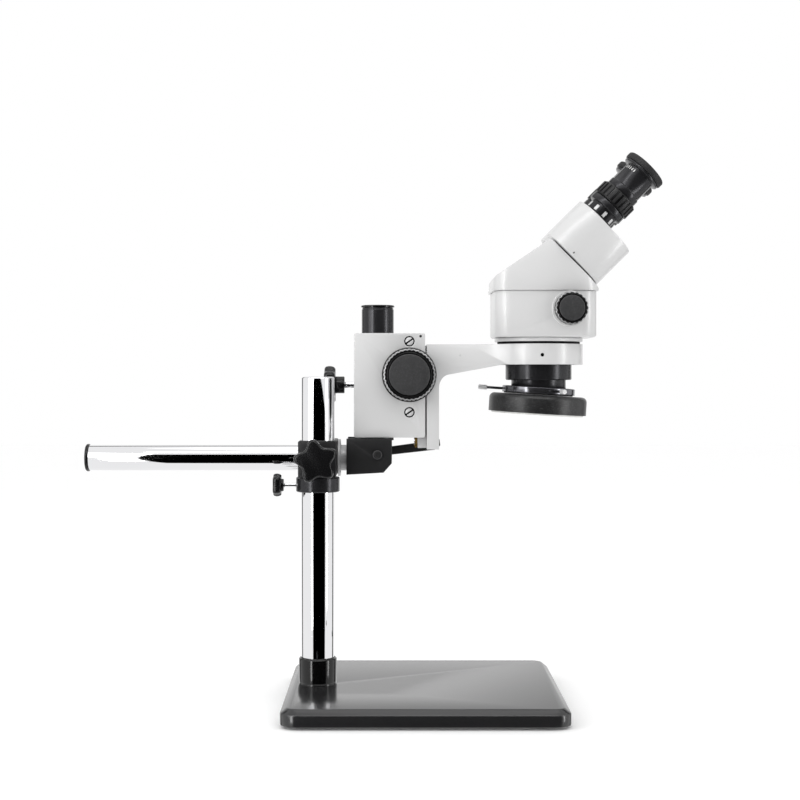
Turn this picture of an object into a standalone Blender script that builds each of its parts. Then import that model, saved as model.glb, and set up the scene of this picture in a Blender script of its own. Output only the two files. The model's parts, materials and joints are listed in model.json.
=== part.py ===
"""Stereo microscope on a single-arm boom stand.

Row frame: +Z up, +X along the boom towards the microscope, +Y away from the operator's near side.
The origin is the centre of the base plate's top face, which is the microscope's stage.
Every size below is in millimetres, with heights counted from the bench; the helpers turn them
into Blender's metres and the root joint moves them to the row frame.
"""

import math

import bmesh
import bpy
from mathutils import Matrix, Vector

MM = 0.001
GAP = 0.3                       # air left between pieces that touch
FINE, ROUND, COARSE = 36, 24, 12  # sides of large, middling and small turned pieces

# Stand
BASE_HALF, BASE_CORNER, BASE_LOW, BASE_TOP = 130.0, 16.0, 2.5, 18.0
BASE_BEVEL_WIDE, BASE_BEVEL_HIGH = 6.0, 5.0
FOOT_RADIUS, FOOT_PLACE = 11.0, 106.0
POST_X, POST_RADIUS, POST_TOP = -101.5, 16.0, 312.5
SOCKET_RADIUS, SOCKET_TOP, SEAT_DEEP = 18.2, 43.0, 3.0
BOLT_RADIUS, BOLT_HEAD_RADIUS, BOLT_HEAD_HIGH = 4.0, 7.0, 5.0
COLLAR_RADIUS, COLLAR_LOW, COLLAR_TOP, COLLAR_SCREW_Z = 21.0, 202.0, 216.2, 208.3

# Cross block and boom
BLOCK_HALF, BLOCK_LOW, BLOCK_TOP, BLOCK_NEAR, BLOCK_FAR = 18.0, 216.5, 251.5, -21.0, 54.0
SCOPE_Y, BOOM_Z, BOOM_RADIUS = 36.0, 233.0, 12.5
BOOM_LEFT, BOOM_RIGHT = -327.9, -64.5
BUSH_RADIUS, BUSH_RIGHT = 18.3, -80.8
STUD_RADIUS, STAR_RADIUS, STAR_LOBE = 4.0, 18.0, 3.2

# Tilt joint between boom and rack post
FORK_LEFT, FORK_RIGHT, FORK_LOW, FORK_TOP = -74.3, -30.4, 217.7, 252.6
FORK_HALF, FORK_GAP_HALF, WEB_RIGHT, WEB_TOP = 28.0, 22.3, -63.5, 248.0
TILT_X, TILT_Z, PIN_RADIUS, TONGUE_RADIUS, TONGUE_TOP = -44.3, 237.0, 3.0, 14.0, 250.0
LEVER_END_X, LEVER_END_Z, LEVER_HALF, LEVER_THICK = 12.0, 244.6, 4.0, 6.0

# Rack post, focus block and arm
RACK_RADIUS, RACK_TOP, RACK_CAP_RADIUS, RACK_CAP_TOP = 15.75, 380.5, 16.5, 382.9
CASE_LEFT, CASE_RIGHT, CASE_LOW, CASE_TOP, CASE_HALF = -67.2, 2.0, 253.4, 355.0, 21.0
CASE_SCREW_X, CASE_SCREW_LEVELS = -13.3, (278.0, 347.1)
LOCK_Z = 304.6
FOCUS_X, FOCUS_Z, SHAFT_RADIUS, PINION_RADIUS = -13.5, 314.5, 3.0, 4.7
KNOB_RADIUS, KNOB_DEEP = 26.5, 25.0
RAIL_LEFT, RAIL_RIGHT, RAIL_WIDE, RAIL_NARROW, RAIL_LOW, RAIL_TOP = -5.0, 3.4, 14.0, 11.0, 243.0, 343.0
RACK_FACE = -8.5
ARM_LEFT, ARM_LEG_RIGHT, ARM_LOW, ARM_TOP, ARM_HALF = 3.7, 15.6, 241.8, 344.2, 20.0
RING_X, RING_RADIUS, RING_BORE, RING_LOW = 114.0, 43.35, 38.0, 324.4
SET_SCREW_Z = 333.6

# Microscope head
HOUSING_LEFT, HOUSING_RIGHT, HOUSING_HALF, HOUSING_CORNER = 68.5, 167.0, 48.0, 16.0
HOUSING_LOW, HOUSING_TOP, WALL = 350.8, 395.0, 4.5
ZOOM_X, ZOOM_Z, ZOOM_RADIUS, ZOOM_KNOB_DEEP = 140.0, 377.7, 16.0, 18.0
BARREL_RADIUS, BARREL_LOW, NOSE_RADIUS, NOSE_LOW, LIGHT_PATH = 32.4, 309.4, 26.75, 300.0, 22.0

# The viewing head leans at 45 degrees: U runs up along the eyepieces, W across them in the X-Z plane
COVER_U, POD_U, POD_TOP_U = 400.5, 402.3, 447.3
PIVOT_W, PIVOT_OUT, PIVOT_LOBE = -188.0, 26.0, 22.6
EYE_W, EYE_OUT, EYE_LOBE = -211.0, 32.0, 23.0

# Ring light, hung a little out of level on its three screws
LAMP_RADIUS, LAMP_BORE, LAMP_LOW, LAMP_TOP, LAMP_LEAN = 47.9, 30.5, 276.9, 294.8, 3.5
ADAPTER_RADIUS, ADAPTER_BORE, ADAPTER_TOP, LAMP_SCREW_Z = 35.75, 31.0, 302.5, 299.2
LAMP_SCREW_ANGLES = (170.0, -70.0, 50.0)

FINISHES = {                     # base colour, roughness, metallic
    "white_enamel": ((0.80, 0.80, 0.79), 0.35, 0.0),
    "black_satin": ((0.035, 0.035, 0.036), 0.42, 0.0),
    "black_gloss": ((0.015, 0.015, 0.016), 0.12, 0.0),
    "chrome": ((0.80, 0.80, 0.81), 0.08, 1.0),
    "steel": ((0.55, 0.55, 0.56), 0.3, 1.0),
    "black_plastic": ((0.05, 0.05, 0.052), 0.5, 0.0),
    "rubber": ((0.03, 0.03, 0.03), 0.8, 0.0),
    "glass": ((0.6, 0.7, 0.8), 0.03, 0.0),
    "diffuser": ((0.85, 0.85, 0.83), 0.5, 0.0),
    "brass": ((0.70, 0.52, 0.22), 0.3, 1.0),
}

ROW_ORIGIN = (0.0, 0.0, BASE_TOP)

# Each moving body: its parent body, and a point on its joint's axis
JOINTS = {
    "stand": (None, (0.0, 0.0, 0.0)),
    "collar": ("stand", (POST_X, 0.0, COLLAR_LOW)),
    "collar_screw": ("collar", (POST_X, 0.0, COLLAR_SCREW_Z)),
    "block": ("collar", (POST_X, 0.0, BLOCK_LOW)),
    "post_clamp": ("block", (POST_X, BLOCK_NEAR, BOOM_Z)),
    "boom_clamp": ("block", (POST_X, BLOCK_FAR, BOOM_Z)),
    "boom": ("block", (POST_X, SCOPE_Y, BOOM_Z)),
    "knuckle": ("boom", (FORK_LEFT, SCOPE_Y, BOOM_Z)),
    "tilt_lever": ("knuckle", (TILT_X, SCOPE_Y, TILT_Z)),
    "tilt_head": ("knuckle", (TILT_X, SCOPE_Y, TILT_Z)),
    "focus_case": ("tilt_head", (TILT_X, SCOPE_Y, CASE_LOW)),
    "case_lock": ("focus_case", (CASE_LEFT, SCOPE_Y, LOCK_Z)),
    "focus_drive": ("focus_case", (FOCUS_X, SCOPE_Y, FOCUS_Z)),
    "focus_slide": ("focus_case", (RAIL_LEFT, SCOPE_Y, RAIL_LOW)),
    "head": ("focus_slide", (RING_X, SCOPE_Y, RING_LOW)),
    "zoom": ("head", (ZOOM_X, SCOPE_Y, ZOOM_Z)),
    "zoom_carrier": ("head", (RING_X, SCOPE_Y, ZOOM_Z)),
}


# Shapes -----------------------------------------------------------------------------------------

def along(direction, centre):
    """Matrix that turns +Z to a direction and moves the origin to a centre."""
    turn = Vector((0.0, 0.0, 1.0)).rotation_difference(Vector(direction)).to_matrix().to_4x4()
    return Matrix.Translation(Vector(centre)) @ turn


def turned(profile, centre=(0.0, 0.0, 0.0), direction=(0.0, 0.0, 1.0), sides=ROUND):
    """Solid of revolution. The profile is (radius, height) points, closed unless both ends lie on the axis."""
    shape = bmesh.new()
    points = [shape.verts.new((radius, 0.0, height)) for radius, height in profile]
    pairs = list(zip(points, points[1:]))
    if profile[0][0] > 0.0 or profile[-1][0] > 0.0:
        pairs.append((points[-1], points[0]))
    edges = [shape.edges.new(pair) for pair in pairs]
    bmesh.ops.spin(shape, geom=points + edges, cent=(0.0, 0.0, 0.0), axis=(0.0, 0.0, 1.0),
                   angle=math.tau, steps=sides, use_merge=True)
    bmesh.ops.remove_doubles(shape, verts=shape.verts, dist=0.001)
    bmesh.ops.recalc_face_normals(shape, faces=shape.faces)
    bmesh.ops.transform(shape, matrix=along(direction, centre), verts=shape.verts)
    return shape


def rod(radius, start, end, sides=ROUND):
    """Plain cylinder between two points."""
    start, end = Vector(start), Vector(end)
    length = (end - start).length
    return turned([(0.0, 0.0), (radius, 0.0), (radius, length), (0.0, length)], start, end - start, sides)


def loft(sections):
    """Closed solid through flat sections that have the same number of points."""
    shape = bmesh.new()
    loops = []
    for section in sections:
        points = [shape.verts.new(point) for point in section]
        loops.append([shape.edges.new(pair) for pair in zip(points, points[1:] + points[:1])])
    for lower, upper in zip(loops, loops[1:]):
        bmesh.ops.bridge_loops(shape, edges=lower + upper)
    for loop in (loops[0], loops[-1]):
        bmesh.ops.contextual_create(shape, geom=loop)
    bmesh.ops.recalc_face_normals(shape, faces=shape.faces)
    return shape


def prism(outline, axis, low, high):
    """Straight extrusion of a flat outline along a row axis: Z takes (x, y), Y takes (x, z), X takes (y, z)."""
    place = {
        "X": lambda a, b, level: (level, a, b),
        "Y": lambda a, b, level: (a, level, b),
        "Z": lambda a, b, level: (a, b, level),
    }[axis]
    return loft([[place(a, b, level) for a, b in outline] for level in (low, high)])


def block(low, high):
    """Rectangular block between two corners."""
    outline = [(low[0], low[1]), (high[0], low[1]), (high[0], high[1]), (low[0], high[1])]
    return prism(outline, "Z", low[2], high[2])


def rounded(corners, radius, steps=4):
    """Outline with each corner turned into an arc of the given radius."""
    outline = []
    count = len(corners)
    for index, corner in enumerate(corners):
        here = Vector(corner)
        before = (Vector(corners[index - 1]) - here).normalized()
        after = (Vector(corners[(index + 1) % count]) - here).normalized()
        half = before.angle(after) / 2.0
        reach = radius / math.tan(half)
        centre = here + (before + after).normalized() * (radius / math.sin(half))
        start = here + before * reach - centre
        sweep = (here + after * reach - centre).angle(start)
        side = 1.0 if before.cross(after) < 0.0 else -1.0
        for step in range(steps + 1):
            turn = Matrix.Rotation(side * sweep * step / steps, 2)
            outline.append(tuple(centre + turn @ start))
    return outline


def rectangle(centre, half_wide, half_high, radius, steps=4):
    """Rectangle outline with round corners."""
    x, y = centre
    corners = [(x - half_wide, y - half_high), (x + half_wide, y - half_high),
               (x + half_wide, y + half_high), (x - half_wide, y + half_high)]
    return rounded(corners, radius, steps)


def lobed(radius, wave, lobes, points_per_lobe=8, phase=0.0):
    """Outline whose radius swells once for each lobe."""
    count = lobes * points_per_lobe
    outline = []
    for index in range(count):
        angle = math.tau * index / count
        reach = radius + wave * math.cos(lobes * angle)
        outline.append((reach * math.cos(angle + phase), reach * math.sin(angle + phase)))
    return outline


def grip(outline, depth, edge, centre, direction):
    """Disc with a shaped rim and an eased edge on both faces, standing on a centre along a direction."""
    scale = 1.0 - edge / max(Vector(point).length for point in outline)
    levels = ((0.0, scale), (edge, 1.0), (depth - edge, 1.0), (depth, scale))
    shape = loft([[(x * size, y * size, level) for x, y in outline] for level, size in levels])
    bmesh.ops.transform(shape, matrix=along(direction, centre), verts=shape.verts)
    return shape


def leaning(u, w, y):
    """Row-frame point of a place given along (U) and across (W) the 45 degree viewing head."""
    return ((u + w) / math.sqrt(2.0), y, (u - w) / math.sqrt(2.0))


def lamp_tilt(shape):
    """Lean a ring light piece, modelled level, about the centre of its adapter."""
    centre = Vector((RING_X, SCOPE_Y, LAMP_SCREW_Z))
    turn = Matrix.Rotation(math.radians(LAMP_LEAN), 4, "Y")
    place = Matrix.Translation(centre) @ turn @ Matrix.Translation(-centre)
    bmesh.ops.transform(shape, matrix=place, verts=shape.verts)
    return shape


# Objects ----------------------------------------------------------------------------------------

def clear_scene():
    """Remove whatever the open file holds."""
    for item in list(bpy.data.objects):
        bpy.data.objects.remove(item, do_unlink=True)


def finish_material(piece, finish):
    """Give a piece its own Principled material."""
    colour, roughness, metallic = FINISHES[finish]
    material = bpy.data.materials.new(f"{piece.name}_{finish}")
    material.use_nodes = True
    shader = material.node_tree.nodes["Principled BSDF"]
    shader.inputs["Base Color"].default_value = (*colour, 1.0)
    shader.inputs["Roughness"].default_value = roughness
    shader.inputs["Metallic"].default_value = metallic
    material.diffuse_color = (*colour, 1.0)
    piece.data.materials.append(material)


def to_object(name, shape, origin):
    """Turn a shape in millimetres into a linked object whose mesh is measured from an origin."""
    bmesh.ops.translate(shape, vec=-Vector(origin), verts=shape.verts)
    bmesh.ops.scale(shape, vec=(MM, MM, MM), verts=shape.verts)
    mesh = bpy.data.meshes.new(name)
    shape.to_mesh(mesh)
    shape.free()
    mesh.shade_smooth()
    mesh.set_sharp_from_angle(angle=math.radians(35.0))
    item = bpy.data.objects.new(name, mesh)
    bpy.context.scene.collection.objects.link(item)
    return item


class Assembly:
    """Holds the joint empties and adds each piece to its body."""

    def __init__(self, joints):
        self.points = {}
        self.empties = {}
        for body, (parent, point) in joints.items():
            self.add_joint(body, parent, point)

    def add_joint(self, body, parent, point):
        """Place an empty on a body's joint axis, under its parent body's empty."""
        empty = bpy.data.objects.new(f"{body}_axis", None)
        bpy.context.scene.collection.objects.link(empty)
        origin = Vector(self.points[parent] if parent else ROW_ORIGIN)
        empty.parent = self.empties.get(parent)
        empty.location = (Vector(point) - origin) * MM
        self.points[body] = point
        self.empties[body] = empty

    def add(self, name, body, finish, shape, cuts=(), joins=(), keeps=()):
        """Add a piece to a body, then keep only what lies in keeps, join joins to it and cut cuts from it."""
        piece = to_object(name, shape, self.points[body])
        piece.parent = self.empties[body]
        finish_material(piece, finish)
        for operation, tools in (("INTERSECT", keeps), ("UNION", joins), ("DIFFERENCE", cuts)):
            for number, tool in enumerate(tools):
                self.combine(piece, body, operation, tool, f"{name}_{operation.lower()}_{number}")
        return piece

    def combine(self, piece, body, operation, tool, name):
        """Boolean one hidden guide solid into a piece."""
        guide = to_object(name, tool, self.points[body])
        guide.parent = self.empties[body]
        guide.hide_render = True
        guide.display_type = "WIRE"
        modifier = piece.modifiers.new(name, "BOOLEAN")
        modifier.operation = operation
        modifier.solver = "EXACT"
        modifier.object = guide


# Stand ------------------------------------------------------------------------------------------

def build_base(parts):
    """Square plate with a bevelled top edge and a seat for the post, its feet, and the post's bolt."""
    level = BASE_TOP - BASE_BEVEL_HIGH
    wide = rectangle((0.0, 0.0), BASE_HALF, BASE_HALF, BASE_CORNER)
    inner = BASE_HALF - BASE_BEVEL_WIDE
    narrow = rectangle((0.0, 0.0), inner, inner, BASE_CORNER - BASE_BEVEL_WIDE)
    sections = [[(x, y, z) for x, y in outline]
                for outline, z in ((wide, BASE_LOW), (wide, level), (narrow, BASE_TOP))]
    head_top = BASE_LOW + BOLT_HEAD_HIGH + 0.5
    cuts = [rod(SOCKET_RADIUS + GAP, (POST_X, 0.0, BASE_TOP - SEAT_DEEP), (POST_X, 0.0, BASE_TOP + 5.0)),
            rod(BOLT_RADIUS + GAP, (POST_X, 0.0, 0.0), (POST_X, 0.0, BASE_TOP + 1.0), COARSE),
            rod(BOLT_HEAD_RADIUS + GAP, (POST_X, 0.0, 0.0), (POST_X, 0.0, head_top), COARSE)]
    parts.add("base_plate", "stand", "black_satin", loft(sections), cuts)

    foot_top = BASE_LOW - GAP
    corners = {"near_left": (-1, -1), "near_right": (1, -1), "far_right": (1, 1), "far_left": (-1, 1)}
    for corner, (x, y) in corners.items():
        foot = turned([(0.0, 0.0), (FOOT_RADIUS - 1.0, 0.0), (FOOT_RADIUS, foot_top), (0.0, foot_top)],
                      (x * FOOT_PLACE, y * FOOT_PLACE, 0.0), sides=COARSE)
        parts.add(f"rubber_foot_{corner}", "stand", "rubber", foot)

    head_low = head_top - BOLT_HEAD_HIGH
    bolt = turned([(0.0, head_low), (BOLT_HEAD_RADIUS, head_low), (BOLT_HEAD_RADIUS, head_top - GAP),
                   (BOLT_RADIUS, head_top - GAP), (BOLT_RADIUS, SOCKET_TOP), (0.0, SOCKET_TOP)],
                  (POST_X, 0.0, 0.0), sides=COARSE)
    parts.add("base_bolt", "stand", "steel", bolt)


def build_post(parts):
    """Round post with an eased top edge, and the socket collar at its foot, both let into the base."""
    foot = BASE_TOP - SEAT_DEEP + GAP
    bore = POST_RADIUS + GAP
    socket = turned([(bore, foot), (SOCKET_RADIUS, foot), (SOCKET_RADIUS, SOCKET_TOP - 1.0),
                     (SOCKET_RADIUS - 1.0, SOCKET_TOP), (bore, SOCKET_TOP)], (POST_X, 0.0, 0.0))
    parts.add("post_socket", "stand", "black_gloss", socket)
    post = turned([(0.0, foot), (POST_RADIUS, foot), (POST_RADIUS, POST_TOP - 1.5),
                   (POST_RADIUS - 1.5, POST_TOP), (0.0, POST_TOP)], (POST_X, 0.0, 0.0))
    hole = rod(BOLT_RADIUS + GAP, (POST_X, 0.0, 0.0), (POST_X, 0.0, SOCKET_TOP + 2.0), COARSE)
    parts.add("vertical_post", "stand", "chrome", post, [hole])


def build_safety_collar(parts):
    """Ring that carries the block's weight, and the thumbscrew that locks it to the post."""
    bore = POST_RADIUS + GAP
    edge = 0.8
    ring = turned([(bore, COLLAR_LOW), (COLLAR_RADIUS - edge, COLLAR_LOW), (COLLAR_RADIUS, COLLAR_LOW + edge),
                   (COLLAR_RADIUS, COLLAR_TOP - edge), (COLLAR_RADIUS - edge, COLLAR_TOP), (bore, COLLAR_TOP)],
                  (POST_X, 0.0, 0.0))
    stud = 2.0
    left = POST_X - COLLAR_RADIUS - 1.0
    hole = rod(stud + GAP, (left - 5.0, 0.0, COLLAR_SCREW_Z), (POST_X - 10.0, 0.0, COLLAR_SCREW_Z), COARSE)
    parts.add("safety_collar", "collar", "black_satin", ring, [hole])
    tip, knob, back = POST_X - POST_RADIUS - 0.4, -136.8, -144.4
    screw = turned([(0.0, 0.0), (stud, 0.0), (stud, -134.2 - tip), (6.0, -134.2 - tip), (6.0, knob - tip - 1.0),
                    (0.0, knob - tip - 1.0)][::-1], (tip, 0.0, COLLAR_SCREW_Z), (1.0, 0.0, 0.0), COARSE)
    disc = grip(lobed(10.5, 1.0, 5), knob - back, 1.0, (knob, 0.0, COLLAR_SCREW_Z), (-1.0, 0.0, 0.0))
    parts.add("collar_thumbscrew", "collar_screw", "black_plastic", disc, joins=[screw])


def star_knob(parts, name, body, y_tip, y_hub, y_disc, y_face):
    """Five-lobed clamp knob on a stud along Y, from the stud's tip out to the knob's face."""
    out = (0.0, math.copysign(1.0, y_face - y_tip), 0.0)
    hub = abs(y_hub - y_tip)
    sunk = abs(y_disc - y_tip) + 1.0
    stem = turned([(0.0, 0.0), (STUD_RADIUS, 0.0), (STUD_RADIUS, hub), (11.0, hub), (11.0, sunk), (0.0, sunk)],
                  (POST_X, y_tip, BOOM_Z), out, COARSE)
    disc = grip(lobed(STAR_RADIUS, STAR_LOBE, 5, phase=math.radians(28.0)), abs(y_face - y_disc), 2.5,
                (POST_X, y_disc, BOOM_Z), out)
    parts.add(name, body, "black_plastic", disc, joins=[stem])


def build_cross_block(parts):
    """Block with a bore for the post and a bore for the boom, its bush and its two clamp knobs."""
    outline = rectangle((POST_X, BOOM_Z + 1.0), BLOCK_HALF, (BLOCK_TOP - BLOCK_LOW) / 2.0, 1.5, 2)
    body = prism(outline, "Y", BLOCK_NEAR, BLOCK_FAR)
    left, right = POST_X - BLOCK_HALF, POST_X + BLOCK_HALF
    cuts = [rod(POST_RADIUS + GAP, (POST_X, 0.0, BLOCK_LOW - 5.0), (POST_X, 0.0, BLOCK_TOP + 5.0)),
            rod(BOOM_RADIUS + GAP, (left - 5.0, SCOPE_Y, BOOM_Z), (right + 5.0, SCOPE_Y, BOOM_Z)),
            rod(STUD_RADIUS + GAP, (POST_X, BLOCK_NEAR - 5.0, BOOM_Z), (POST_X, -10.0, BOOM_Z), COARSE),
            rod(STUD_RADIUS + GAP, (POST_X, SCOPE_Y + 8.0, BOOM_Z), (POST_X, BLOCK_FAR + 5.0, BOOM_Z), COARSE)]
    parts.add("cross_block", "block", "black_satin", body, cuts)
    bush_left = right + GAP
    deep = BUSH_RIGHT - bush_left
    bush = turned([(BOOM_RADIUS + GAP, 0.0), (BUSH_RADIUS, 0.0), (BUSH_RADIUS, deep - 0.6),
                   (BUSH_RADIUS - 0.6, deep), (BOOM_RADIUS + GAP, deep)],
                  (bush_left, SCOPE_Y, BOOM_Z), (1.0, 0.0, 0.0))
    parts.add("boom_bush", "block", "steel", bush)
    star_knob(parts, "post_clamp_knob", "post_clamp", -POST_RADIUS - 0.4, -27.0, -31.0, -45.0)
    star_knob(parts, "boom_clamp_knob", "boom_clamp", SCOPE_Y + BOOM_RADIUS + 0.4, 60.0, 64.0, 78.0)


def build_boom(parts):
    """Horizontal boom, and the flanged cap that stops it leaving the block."""
    parts.add("boom_tube", "boom", "chrome",
              rod(BOOM_RADIUS, (BOOM_LEFT, SCOPE_Y, BOOM_Z), (BOOM_RIGHT, SCOPE_Y, BOOM_Z)))
    face = BOOM_LEFT - GAP
    cap = turned([(0.0, 0.0), (13.5, 0.0), (13.5, 2.2), (12.5, 3.2), (0.0, 3.2)],
                 (face, SCOPE_Y, BOOM_Z), (-1.0, 0.0, 0.0))
    parts.add("boom_end_cap", "boom", "black_plastic", cap)


# Tilt joint -------------------------------------------------------------------------------------

def build_knuckle(parts):
    """Fork at the boom's end. Its web holds the boom and its two arms hold the tilt pin."""
    near, far = SCOPE_Y - FORK_HALF, SCOPE_Y + FORK_HALF
    side = [(FORK_LEFT, FORK_LOW), (FORK_RIGHT - 8.0, FORK_LOW + 2.0), (FORK_RIGHT, FORK_LOW + 11.0),
            (FORK_RIGHT, FORK_TOP), (FORK_LEFT, FORK_TOP)]
    inner_near, inner_far = SCOPE_Y - FORK_GAP_HALF, SCOPE_Y + FORK_GAP_HALF
    cuts = [block((WEB_RIGHT, inner_near, FORK_LOW - 5.0), (FORK_RIGHT + 5.0, inner_far, FORK_TOP + 5.0)),
            block((FORK_LEFT - 5.0, inner_near, WEB_TOP), (WEB_RIGHT + 2.0, inner_far, FORK_TOP + 6.0)),
            rod(BOOM_RADIUS + GAP, (FORK_LEFT - 5.0, SCOPE_Y, BOOM_Z), (WEB_RIGHT + 5.0, SCOPE_Y, BOOM_Z)),
            rod(PIN_RADIUS + GAP, (TILT_X, near - 5.0, TILT_Z), (TILT_X, far + 5.0, TILT_Z), COARSE)]
    parts.add("knuckle_fork", "knuckle", "black_satin", prism(side, "Y", near, far), cuts)

    lever_near = far + GAP
    bolt_end = lever_near + LEVER_THICK + 2.0
    head = near - GAP
    bolt = turned([(0.0, -2.8), (4.0, -2.8), (4.4, -2.3), (4.4, 0.0), (PIN_RADIUS, 0.0),
                   (PIN_RADIUS, bolt_end - head), (0.0, bolt_end - head)],
                  (TILT_X, head, TILT_Z), (0.0, 1.0, 0.0), COARSE)
    parts.add("tilt_bolt", "knuckle", "steel", bolt)

    slope = math.atan2(LEVER_END_Z - TILT_Z, LEVER_END_X - TILT_X)
    up = Vector((-math.sin(slope), math.cos(slope))) * LEVER_HALF
    start, end = Vector((TILT_X, TILT_Z)), Vector((LEVER_END_X, LEVER_END_Z))
    hook = end + Vector((math.cos(slope), math.sin(slope))) * 6.0
    bar = [tuple(start - up), tuple(end - up * 1.3), tuple(hook - up * 0.4), tuple(hook + up * 1.2),
           tuple(end + up), tuple(start + up)]
    hub = rod(9.0, (TILT_X, lever_near, TILT_Z), (TILT_X, lever_near + LEVER_THICK, TILT_Z), COARSE)
    hole = rod(PIN_RADIUS + GAP, (TILT_X, far - 5.0, TILT_Z), (TILT_X, bolt_end + 5.0, TILT_Z), COARSE)
    parts.add("tilt_lever", "tilt_lever", "black_satin",
              prism(bar, "Y", lever_near + 0.5, lever_near + LEVER_THICK - 0.5), [hole], [hub])


def build_rack_post(parts):
    """Tongue between the fork's arms, and the black post that it carries."""
    steps = 12
    outline = [(TILT_X + TONGUE_RADIUS * math.cos(-math.pi * step / steps),
                TILT_Z + TONGUE_RADIUS * math.sin(-math.pi * step / steps)) for step in range(steps + 1)]
    outline += [(TILT_X - TONGUE_RADIUS, TONGUE_TOP), (TILT_X + TONGUE_RADIUS, TONGUE_TOP)]
    half = FORK_GAP_HALF - GAP
    tongue = prism(outline, "Y", SCOPE_Y - half, SCOPE_Y + half)
    pin = rod(PIN_RADIUS + GAP, (TILT_X, SCOPE_Y - 30.0, TILT_Z), (TILT_X, SCOPE_Y + 30.0, TILT_Z), COARSE)
    parts.add("tilt_tongue", "tilt_head", "black_satin", tongue, [pin])
    parts.add("rack_post", "tilt_head", "black_satin",
              rod(RACK_RADIUS, (TILT_X, SCOPE_Y, TONGUE_TOP + GAP), (TILT_X, SCOPE_Y, RACK_TOP)))
    low = RACK_TOP + GAP
    cap = turned([(0.0, low), (RACK_CAP_RADIUS, low), (RACK_CAP_RADIUS, RACK_CAP_TOP - 0.6),
                  (RACK_CAP_RADIUS - 0.6, RACK_CAP_TOP), (0.0, RACK_CAP_TOP)], (TILT_X, SCOPE_Y, 0.0))
    parts.add("rack_post_cap", "tilt_head", "black_satin", cap)


# Focus drive ------------------------------------------------------------------------------------

def rail_outline(slack):
    """Dovetail seen from above, grown by some slack for its slot."""
    left, right = RAIL_LEFT - slack, RAIL_RIGHT + slack
    taper = (RAIL_WIDE - RAIL_NARROW) * slack / (RAIL_RIGHT - RAIL_LEFT)
    wide, narrow = RAIL_WIDE + slack + taper, RAIL_NARROW + slack - taper
    return [(left, SCOPE_Y - wide), (right, SCOPE_Y - narrow), (right, SCOPE_Y + narrow), (left, SCOPE_Y + wide)]


def build_focus_case(parts):
    """Block that clamps on the rack post and holds the pinion and the arm's dovetail."""
    near, far = SCOPE_Y - CASE_HALF, SCOPE_Y + CASE_HALF
    middle = ((CASE_LEFT + CASE_RIGHT) / 2.0, (CASE_LOW + CASE_TOP) / 2.0)
    outline = rectangle(middle, (CASE_RIGHT - CASE_LEFT) / 2.0, (CASE_TOP - CASE_LOW) / 2.0, 1.5, 2)
    low, high = CASE_LOW - 5.0, CASE_TOP + 5.0
    channel = 4.5
    cuts = [rod(RACK_RADIUS + GAP, (TILT_X, SCOPE_Y, low), (TILT_X, SCOPE_Y, high)),
            rod(3.3, (CASE_LEFT - 5.0, SCOPE_Y, LOCK_Z), (TILT_X - 10.0, SCOPE_Y, LOCK_Z), COARSE),
            rod(SHAFT_RADIUS + GAP, (FOCUS_X, near - 5.0, FOCUS_Z), (FOCUS_X, far + 5.0, FOCUS_Z), COARSE),
            rod(6.2, (FOCUS_X, SCOPE_Y - 6.0, FOCUS_Z), (FOCUS_X, SCOPE_Y + 6.0, FOCUS_Z), COARSE),
            prism(rail_outline(GAP), "Z", low, high),
            block((RACK_FACE - 0.4, SCOPE_Y - channel, low - 1.0), (RAIL_LEFT + 1.0, SCOPE_Y + channel, high + 1.0))]
    cuts += [rod(5.2, (CASE_SCREW_X, near - 5.0, level), (CASE_SCREW_X, near + 6.0, level), COARSE)
             for level in CASE_SCREW_LEVELS]
    parts.add("focus_block", "focus_case", "white_enamel", prism(outline, "Y", near, far), cuts)

    for name, level in zip(("lower", "upper"), CASE_SCREW_LEVELS):
        parts.add(f"block_screw_{name}", "focus_case", "steel",
                  rod(4.9, (CASE_SCREW_X, near + 2.2, level), (CASE_SCREW_X, near + 5.7, level), COARSE))

    tip, hub, disc, face = TILT_X - RACK_RADIUS - 0.4, -77.0, -86.0, -96.8
    stem = turned([(0.0, 0.0), (3.0, 0.0), (3.0, tip - hub), (8.3, tip - hub), (8.3, tip - disc + 1.0),
                   (0.0, tip - disc + 1.0)], (tip, SCOPE_Y, LOCK_Z), (-1.0, 0.0, 0.0), COARSE)
    knob = grip(lobed(16.9, 2.6, 5, phase=0.3), disc - face, 2.0, (disc, SCOPE_Y, LOCK_Z), (-1.0, 0.0, 0.0))
    parts.add("rack_lock_knob", "case_lock", "black_plastic", knob, joins=[stem])


def build_focus_drive(parts):
    """Pinion shaft and the two scalloped focus knobs on its ends."""
    half, shaft_half, pinion_half = CASE_HALF, CASE_HALF + 18.0, 4.0
    shaft = turned([(0.0, -shaft_half), (SHAFT_RADIUS, -shaft_half), (SHAFT_RADIUS, -pinion_half),
                    (PINION_RADIUS, -pinion_half), (PINION_RADIUS, pinion_half), (SHAFT_RADIUS, pinion_half),
                    (SHAFT_RADIUS, shaft_half), (0.0, shaft_half)],
                   (FOCUS_X, SCOPE_Y, FOCUS_Z), (0.0, 1.0, 0.0), COARSE)
    parts.add("focus_shaft", "focus_drive", "steel", shaft)
    for name, side in (("focus_knob_near", -1.0), ("focus_knob_far", 1.0)):
        inner = SCOPE_Y + side * (half + GAP)
        knob = grip(lobed(KNOB_RADIUS - 0.4, 0.4, 36, 2), KNOB_DEEP, 1.2, (FOCUS_X, inner, FOCUS_Z), (0.0, side, 0.0))
        bore = rod(SHAFT_RADIUS + GAP, (FOCUS_X, SCOPE_Y, FOCUS_Z),
                   (FOCUS_X, SCOPE_Y + side * (shaft_half + GAP), FOCUS_Z), COARSE)
        parts.add(name, "focus_drive", "black_plastic", knob, [bore])


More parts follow.
